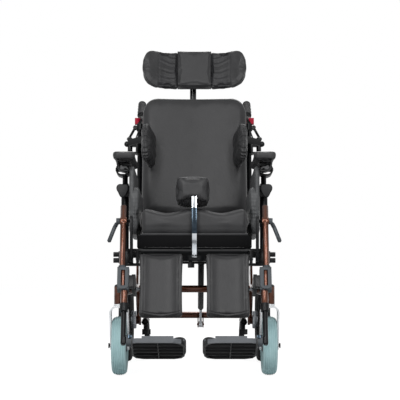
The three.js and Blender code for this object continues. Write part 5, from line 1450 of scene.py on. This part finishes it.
def support_rule(co, normal):
    """Folds round the rim, long faint ones on the face, and the groove of the cord."""
    across, height = co.y - support_mid.y, co.z - support_mid.z
    turn = atan2(height, across)
    rim = (1 - abs(normal.x)) ** 0.7
    reach = step_up(hypot(across, height), calm_radius, folded_radius)
    # A slow wander over the face shifts the folds, and the cord pulls some harder than others
    stray = 1.3 * sin(across / stray_gaps[0] + 2 * sin(height / stray_gaps[1]))
    uneven = 0.75 + 0.35 * sin(5 * turn + 0.8)
    fold = sin(rim_folds * turn + 3 * sin(3 * turn) + stray)
    fold += 0.5 * sin(rim_folds * 1.6 * turn + 1 - stray)
    depth = rim_fold_depth * uneven * (0.2 + 0.8 * rim) * reach
    slant = 2 * pi * (height + 0.5 * across) / face_fold_gap
    lengthwise = face_fold_depth * sin(slant + stray) * (1 - rim)
    gather = bump_at(co.x, support_mid.x + 2 * mm, cord_width) * rim
    return co + normal * (depth * fold + lengthwise - cord_depth * gather)


upholster_pair(shaped(refined(support_pad), support_rule), support_space, "lateral_left", 0.6,
               "lateral_pad_left", subdivide=False)
print("side supports:", rim_folds, "gathers each")

# %% [markdown]
# ## Arm rests
# The arm rests are skinned foam, moulded in one piece: a soft bar with a shallow trough along
# its top, and a parting line round its side.

# %% Shape and place the arm rests
arm_trough = 2.5 * mm
parting_drop, parting_width = 4 * mm, 3 * mm
arm_middle = (arm_low + arm_high) / 2
arm_half = (arm_high.x - arm_low.x) / 2


def arm_rule(co, normal):
    """A trough along the top and the parting line of the mould."""
    share = min(abs(co.x - arm_middle.x) / arm_half, 1)
    co.z -= arm_trough * max(normal.z, 0) * (1 + cos(pi * share)) / 2
    line = bump_at(co.z, arm_middle.z - parting_drop, parting_width) * (1 - abs(normal.z))
    return co - normal * fine_seam * line


upholster_pair(shaped(arm_rest, arm_rule), seat_space, "arm_left", 0.9, "arm_pad_left")
print("arm rests", round(2 * arm_half / mm), "mm wide")

# %% [markdown]
# ## Side guards and hip bolsters
# The board is wrapped in thin foam. The bolster on it is waisted: full beside the hip, drawn in
# below it, and full again beside the thigh. It tapers at its lower end, where it dips past the
# seat.

# %% Shape and place the side guards
waist_level = hip_low.z + 66 * mm
waist_reach, waist_depth = 34 * mm, 7 * mm
taper_height, taper_depth = 44 * mm, 6 * mm
crease_gap, crease_wander, crease_depth = 13 * mm, 19 * mm, 0.5 * mm
hip_mid_x = (hip_low.x + hip_high.x) / 2
hip_half = (hip_high.x - hip_low.x) / 2


def hip_rule(co, normal):
    """A waist, a tapered lower end and small creases that are deepest in the waist."""
    inner = max(hip_mid_x + hip_half - co.x, 0) / (2 * hip_half)
    waist = bump_at(co.z, waist_level, waist_reach)
    foot = step_up(hip_low.z + taper_height - co.z, 0, taper_height)
    co.x += inner * (waist_depth * waist + taper_depth * foot)
    crease = sin(2 * pi * co.z / crease_gap + 1.6 * sin(co.y / crease_wander))
    return co + normal * crease_depth * crease * (0.4 + waist)


def board_rule(co, normal):
    """A fine seam along the middle of the board's edge."""
    seam = bump_at(co.x, guard_high.x - board_thickness / 2, 3 * mm) * (1 - abs(normal.x))
    return co - normal * fine_seam * seam


# The lighter leatherette on the side guards and hip bolsters is painted light.
upholster_pair(shaped(guard_board, board_rule), seat_space, "arm_left", 0.9, "side_guard_left",
               material=lit_leatherette)
upholster_pair(shaped(refined(hip_pad), hip_rule), seat_space, "arm_left", 0.75,
               material=lit_leatherette, subdivide=False)
print("hip bolsters", round((hip_high.z - hip_low.z) / mm), "mm high")

# %% [markdown]
# ## Pommel
# Seen from the front the pommel is a trapezoid. Its front face ends in an arch over the chrome
# bar, and the cover is gathered under that arch. Its top edge is closed by a stitched seam that
# stands up a little. The upper end of the bar disappears into the pad.

# %% Shape and place the pommel
hem_rise, arch_rise = 5 * mm, 11 * mm
hem_softness = 8 * mm
front_swell = 9.5 * mm
pommel_taper = 0.04
gather_gap, gather_wander, gather_depth = 8 * mm, 12 * mm, 1.6 * mm
top_seam_drop, top_seam_radius = 8 * mm, 1.4 * mm
pommel_mid = (pommel_low + pommel_high) / 2
pommel_half = (pommel_high - pommel_low) / 2


def pommel_rule(co, normal):
    """An arched hem, a full front face above it, a slight taper and gathers below."""
    across = min(abs(co.x - pommel_mid.x) / pommel_half.x, 1)
    level = (co.z - pommel_low.z) / (2 * pommel_half.z)
    ahead = step_up(pommel_mid.y - co.y, -10 * mm, pommel_half.y - 12 * mm)
    hem = hem_rise + arch_rise * (1 - across ** 2)
    low_part = 1 - step_up(level, 0, 0.55)
    co.z += hem * ahead * low_part
    above = step_up(co.z - pommel_low.z, hem - hem_softness, hem)
    front = step_up(pommel_mid.y - co.y, pommel_half.y - 16 * mm, pommel_half.y - 6 * mm)
    co.y -= front_swell * front * above * (1 - across ** 6)
    co.x = pommel_mid.x + (co.x - pommel_mid.x) * (1 - pommel_taper * (1 - level))
    fold = sin(2 * pi * co.x / gather_gap + 1.3 * sin(co.y / gather_wander))
    under = max(-normal.z, 0) + low_part * (1 - above)
    return co + normal * gather_depth * fold * min(under, 1)


shaped(refined(pommel), pommel_rule)
line = line_where(pommel, (0, 0, pommel_high.z - top_seam_drop), (0, 0, 1))
piping("pommel_top_piping", line, top_seam_radius, seat_space, "abductor")
upholster(pommel, seat_space, "abductor", 0.7, "abductor_pad", subdivide=False)
print("pommel arch", round(arch_rise / mm), "mm high")

# %% [markdown]
# ## Calf pads
# A calf pad is dished from side to side, and its two long edges are rolled forward. Below, the
# cover is turned under and pressed flat, which leaves one sharp crease across the front.

# %% Shape and place the calf pads
calf_dish = 20 * mm
roll_width, roll_groove_width, roll_groove_depth = 19 * mm, 5 * mm, 1.2 * mm
crease_level, crease_sag, crease_width = 21 * mm, 5 * mm, 4 * mm
hem_level, hem_height, hem_depth = 19 * mm, 9 * mm, 3 * mm
calf_mid = (calf_low + calf_high) / 2
calf_half = (calf_high - calf_low) / 2


def calf_rule(co, normal):
    """A dish between two rolls, and a sagging crease over a hem that is pressed flat."""
    share = min(abs(co.x - calf_mid.x) / (calf_half.x - 0.4 * roll_width), 1)
    ahead = step_up(calf_mid.y + 6 * mm - co.y, 0, 16 * mm)
    co.y += calf_dish * ahead * cos(pi / 2 * share ** 1.6)
    groove = bump_at(abs(co.x - calf_mid.x), calf_half.x - roll_width, roll_groove_width)
    sag = crease_sag * cos(pi / 2 * share)
    crease = bump_at(co.z, calf_low.z + crease_level - sag, crease_width)
    hem = step_up(calf_low.z + hem_level - sag - co.z, 0, hem_height)
    pressed = roll_groove_depth * groove + hem_depth * (crease + hem)
    return co - normal * max(-normal.y, 0) * pressed


upholster_pair(shaped(refined(calf_pad), calf_rule), calf_space, "calf_left", 0.7,
               "calf_pad_left", subdivide=False)
print("calf pads dished", round(calf_dish / mm), "mm")

# %% [markdown]
# ## Blocks and frames
# Most small parts are a block with soft edges, or a flat shape with an opening that is given
# thickness. They are made flat and square, and then turned to face the way they do on the chair.

# %% Blocks and framed plates
def box_between(shape, low, high, softness=0.8 * mm):
    """A block between two corners with softened edges."""
    made = bmesh.ops.create_cube(shape, size=1)["verts"]
    bmesh.ops.scale(shape, vec=high - low, verts=made)
    bmesh.ops.translate(shape, vec=(high + low) / 2, verts=made)
    return soften(shape, edges_of(made), softness)


def block(name, body, slot, space, low, high, finish, softness=0.8 * mm):
    """A small block of a finish, given by two corners in millimetres."""
    shape = box_between(bmesh.new(), Vector(low) * mm, Vector(high) * mm, softness)
    return place(new_piece(name, shape, [finish], space), body, slot)


def framed(shape, wall, depth, softness):
    """A flat face made into a frame: its middle is taken out and the rest is thickened."""
    middle = shape.faces[:]
    bmesh.ops.inset_region(shape, faces=middle, thickness=wall, use_boundary=True,
                           use_even_offset=True)
    bmesh.ops.delete(shape, geom=middle, context="FACES")
    thickened(shape, depth)
    level = sum(v.co.z for v in shape.verts) / len(shape.verts)
    bmesh.ops.translate(shape, vec=(0, 0, -level), verts=shape.verts)
    return soften(shape, rims(shape.edges), softness)


def turned_to(shape, axis, middle):
    """Turns a flat shape's Z axis to another axis and moves its middle to a point."""
    turn = Vector((0, 0, 1)).rotation_difference(Vector(axis)).to_matrix()
    bmesh.ops.rotate(shape, cent=(0, 0, 0), matrix=turn, verts=shape.verts)
    bmesh.ops.translate(shape, vec=middle, verts=shape.verts)
    return shape


# %% [markdown]
# ## Slotted castings
# The grey casting halfway down each leg rest clamps the calf pad's arm. Its front has a long
# slot through which the copper tube shows. The slot is made like a picture frame: one face is
# inset, its middle is taken out, and what is left is given thickness and soft edges.

# %% Slot and tube
slot_width, slot_height = 13 * mm, 56 * mm
cast_width, cast_height = 37 * mm, 77 * mm
cast_corner, cast_wall = 13.5 * mm, 5 * mm
cast_middle = Vector((-4, -20, -207)) * mm
seen_tube, seen_tube_depth = 9 * mm, 9 * mm

shape = bmesh.new()
bmesh.ops.create_grid(shape, x_segments=1, y_segments=1, size=0.5)
bmesh.ops.scale(shape, vec=(cast_width, cast_height, 1), verts=shape.verts)
bmesh.ops.bevel(shape, geom=shape.verts[:], affect="VERTICES", offset=cast_corner,
                offset_type="OFFSET", segments=6, profile=0.5, material=-1)
framed(shape, wall=(cast_width - slot_width) / 2, depth=cast_wall, softness=0.9 * mm)
turned_to(shape, (0, -1, 0), cast_middle)
both_sides("leg_casting_slot_left", shape, [cast_aluminium], leg_space, "leg_left",
           "cast_aluminium")

tube_from = cast_middle + Vector((0, seen_tube_depth, slot_height / 2))
shape = turned_bar(bmesh.new(), tube_from, tube_from - Vector((0, 0, slot_height)), seen_tube)
both_sides("leg_casting_tube_left", shape, [copper_paint], leg_space, "leg_left", "copper_paint")
print("slots", round(slot_width / mm), "by", round(slot_height / mm), "mm")

# %% [markdown]
# ## Head-rest hardware
# What holds the soft parts is seen from behind and from the side. Each head-rest wing is screwed
# to a steel plate, which turns on two bushes above and below the middle of its hinge. A nylon
# strap runs beside the stem.

# %% Hinges and strap of the head rest
hinge_plate = Vector((4, -7, -37.5)) * mm, Vector((99, -3, 37.5)) * mm
bush_from, bush_to, bush_radius = 15.3 * mm, 36 * mm, 5.5 * mm

shape = box_between(bmesh.new(), *hinge_plate)
for side in (-1, 1):
    turned_bar(shape, Vector((0, 0, side * bush_from)), Vector((0, 0, side * bush_to)), bush_radius)
both_sides("headrest_wing_hinge_left", shape, [black_paint], wing_space,
           body_of_node["headrest_wing_left"], "black_paint")
block("headrest_stem_strap", body_of_node["headrest_stem"], "black_paint", back_space,
      (-17, 30, 560), (-7.3, 42, 640), nylon)
print("hinge bushes", round(2 * bush_radius / mm), "mm thick")

# %% [markdown]
# ## Calf pad brackets
# Each calf pad is screwed to a steel plate with two eyes that turn on the arm's rod. An eye is a
# short tube, made like the slot: a disc with its middle taken out, thickened along the rod.

# %% Plates and eyes of the calf pads
bracket_plate = Vector((-158.5, -18.3, -71)) * mm, Vector((-70.5, -14.3, 71)) * mm
eye_places = (-100 * mm, -72 * mm)
eye_radius, rod_hole, eye_length = 11 * mm, 5.3 * mm, 10 * mm
foot_from, foot_to, foot_half = -16 * mm, -8 * mm, 8 * mm


def with_copy_of(shape, other):
    """Adds one shape to another by way of a mesh, and frees the one that was added."""
    mesh = bpy.data.meshes.new("carrier")
    other.to_mesh(mesh)
    other.free()
    shape.from_mesh(mesh)
    bpy.data.meshes.remove(mesh)
    return shape


shape = box_between(bmesh.new(), *bracket_plate)
for eye_x in eye_places:
    eye = bmesh.new()
    bmesh.ops.create_circle(eye, cap_ends=True, segments=32, radius=eye_radius)
    framed(eye, wall=eye_radius - rod_hole, depth=eye_length, softness=0.6 * mm)
    turned_to(eye, (1, 0, 0), (eye_x, 0, 0))
    box_between(eye, Vector((eye_x - eye_length / 2, foot_from, -foot_half)),
                Vector((eye_x + eye_length / 2, foot_to, foot_half)))
    with_copy_of(shape, eye)
both_sides("calf_pad_bracket_left", shape, [black_paint], calf_space, "calf_left", "black_paint")
print("each calf pad turns on", len(eye_places), "eyes")

# %% [markdown]
# ## Arm-rest straps
# Under the front of each arm rest a strap bends down from the pad to its knob. It starts as one
# edge, which is pulled along a line of points, and the sheet that this leaves is thickened.

# %% Straps under the arm rests
strap_near, strap_far = -316 * mm, -270 * mm
strap_thickness = 5 * mm
strap_line = [(266, 313), (264.5, 298), (261, 286), (255, 279), (246, 275.5), (234, 274), (227, 275)]


def bent_strap(points, near, far, thickness):
    """A flat strap bent along a line of points, from y near to y far."""
    shape = bmesh.new()
    ends = [shape.verts.new((points[0].x, y, points[0].z)) for y in (near, far)]
    edges = [shape.edges.new(ends)]
    for a, b in zip(points, points[1:]):
        moved = bmesh.ops.extrude_edge_only(shape, edges=edges)["geom"]
        edges = [g for g in moved if isinstance(g, bmesh.types.BMEdge)]
        bmesh.ops.translate(shape, vec=b - a,
                            verts=[g for g in moved if isinstance(g, bmesh.types.BMVert)])
    bmesh.ops.recalc_face_normals(shape, faces=shape.faces)
    thickened(shape, thickness)
    return soften(shape, rims(shape.edges), 0.6 * mm)


shape = bent_strap([Vector((x, 0, z)) * mm for x, z in strap_line], strap_near, strap_far,
                   strap_thickness)
both_sides("arm_rest_strap_left", shape, [nylon], seat_space, "arm_left", "moulded_nylon")
print("arm-rest straps", round((strap_far - strap_near) / mm), "mm wide")

# %% [markdown]
# ## Lobed knobs
# The knob that clamps an arm rest has three lobes for the fingers. It is a disc whose radius
# swells three times on its way round, a little taller than wide, thick and well rounded.

# %% Knobs of the arm rests
lobe_count = 3
lobe_middle = Vector((247, -254, 219)) * mm
knob_radius, lobe_swell, knob_stretch = 20.5, 3, 1.15
knob_thickness, knob_softness = 15 * mm, 4 * mm

shape = bmesh.new()
bmesh.ops.create_circle(shape, cap_ends=True, segments=48, radius=1)
for v in shape.verts:
    turn = atan2(v.co.y, v.co.x)
    v.co *= (knob_radius + lobe_swell * cos(lobe_count * (turn + pi / 2))) * mm
    v.co.y *= knob_stretch
thickened(shape, knob_thickness)
soften(shape, rims(shape.edges), knob_softness, segments=4)
turned_to(shape, (0, -1, 0), lobe_middle)
both_sides("arm_rest_knob_left", shape, [nylon], seat_space, "seat", "moulded_nylon")
print("knobs with", lobe_count, "lobes")

# %% [markdown]
# ## Ball knobs and control levers
# The clamp of each side support has a ball on a short neck. The control lever on the push handle
# is a bar on a boss, and it ends in a smaller ball.

# %% Balls on necks and levers
neck = Vector((244, 2, 400)) * mm, Vector((254, -4, 395)) * mm
clamp_ball = Vector((257, -6, 393)) * mm
neck_radius, clamp_ball_radius = 6 * mm, 11 * mm
lever_space = joint_space("control_lever_left", "headrest_height")
lever_end = Vector((25, 22, -38)) * mm
boss_half = Vector((0, 7, 0)) * mm
boss_radius, lever_radius, lever_ball_radius = 8 * mm, 4.8 * mm, 7.6 * mm

shape = turned_bar(bmesh.new(), *neck, neck_radius)
bmesh.ops.create_uvsphere(shape, u_segments=28, v_segments=16, radius=clamp_ball_radius,
                          matrix=Matrix.Translation(clamp_ball))
both_sides("lateral_clamp_knob_left", shape, [nylon], back_space, "back", "moulded_nylon")

shape = turned_bar(bmesh.new(), -boss_half, boss_half, boss_radius)
turned_bar(shape, Vector((0, 0, 0)), lever_end, lever_radius)
bmesh.ops.create_uvsphere(shape, u_segments=24, v_segments=14, radius=lever_ball_radius,
                          matrix=Matrix.Translation(lever_end))
both_sides("control_lever_finished_left", shape, [nylon], lever_space, "lever_left",
           "black_paint", "control_lever_left")
print("control levers", round(lever_end.length / mm), "mm long")

# %% [markdown]
# ## Seat and pommel trim
# A strip closes the gap under the seat board, a base in the darker leatherette below the cushion's seam
# is painted shade under its rolled front, and a dark steel sleeve sits on the chrome bar of the pommel.

# %% Strip, cushion base and sleeve
trim = [
    ("seat_board_strip", "seat", "black_paint", (-185, -352, 8.9), (185, -344, 12.6),
     board_plastic, 0.5 * mm),
    # The darker leatherette of the cushion base is painted shade under the cushion's rolled front.
    ("seat_cushion_base", "seat", "leatherette", (-180, -347, 52.9), (180, 88, 61),
     piping_and_shade_leatherette, 1.5 * mm),
    ("pommel_bar_sleeve", "abductor", "bright_steel", (-8.7, -367, 58), (8.7, -359, 146),
     dark_steel, 1.2 * mm),
]
for name, body, slot, low, high, finish, softness in trim:
    block(name, body, slot, seat_space, low, high, finish, softness)
print("trim pieces:", len(trim))

# %% [markdown]
# ## Kerbs and hinge bolts of the footplates
# Each footplate ends towards the middle in a round kerb that keeps the shoe on it, and its hinge
# carries the round head of a bolt. The kerb is a grid bent to half an oval, highest in the
# middle, and thickened.

# %% Kerbs and bolts
kerb_middle = Vector((-142, -27.5, 0)) * mm
kerb_reach, kerb_half = 39 * mm, 88 * mm
kerb_low, plate_top, kerb_rise = -33 * mm, -18 * mm, 16 * mm
kerb_thickness = 4 * mm
bolt_from, bolt_to = Vector((0, -9, 20)) * mm, Vector((0, -13.5, 20)) * mm
bolt_head = 6.5 * mm

shape = bmesh.new()
bmesh.ops.create_grid(shape, x_segments=32, y_segments=6, size=1)
for v in shape.verts:
    turn, level = v.co.x * pi / 2, (v.co.y + 1) / 2
    high = plate_top + kerb_rise * cos(turn)
    v.co = kerb_middle + Vector((-kerb_reach * cos(turn), kerb_half * sin(turn),
                                 kerb_low + (high - kerb_low) * level))
bmesh.ops.recalc_face_normals(shape, faces=shape.faces)
thickened(shape, kerb_thickness)
both_sides("footplate_kerb_left", shape, [nylon], foot_space, body_of_node["footplate_left"],
           "moulded_nylon")
both_sides("footplate_hinge_bolt_left", turned_bar(bmesh.new(), bolt_from, bolt_to, bolt_head),
           [dark_steel], foot_space, body_of_node["foot_tube_left"], "bright_steel")
print("kerbs rise", round(kerb_rise / mm), "mm")
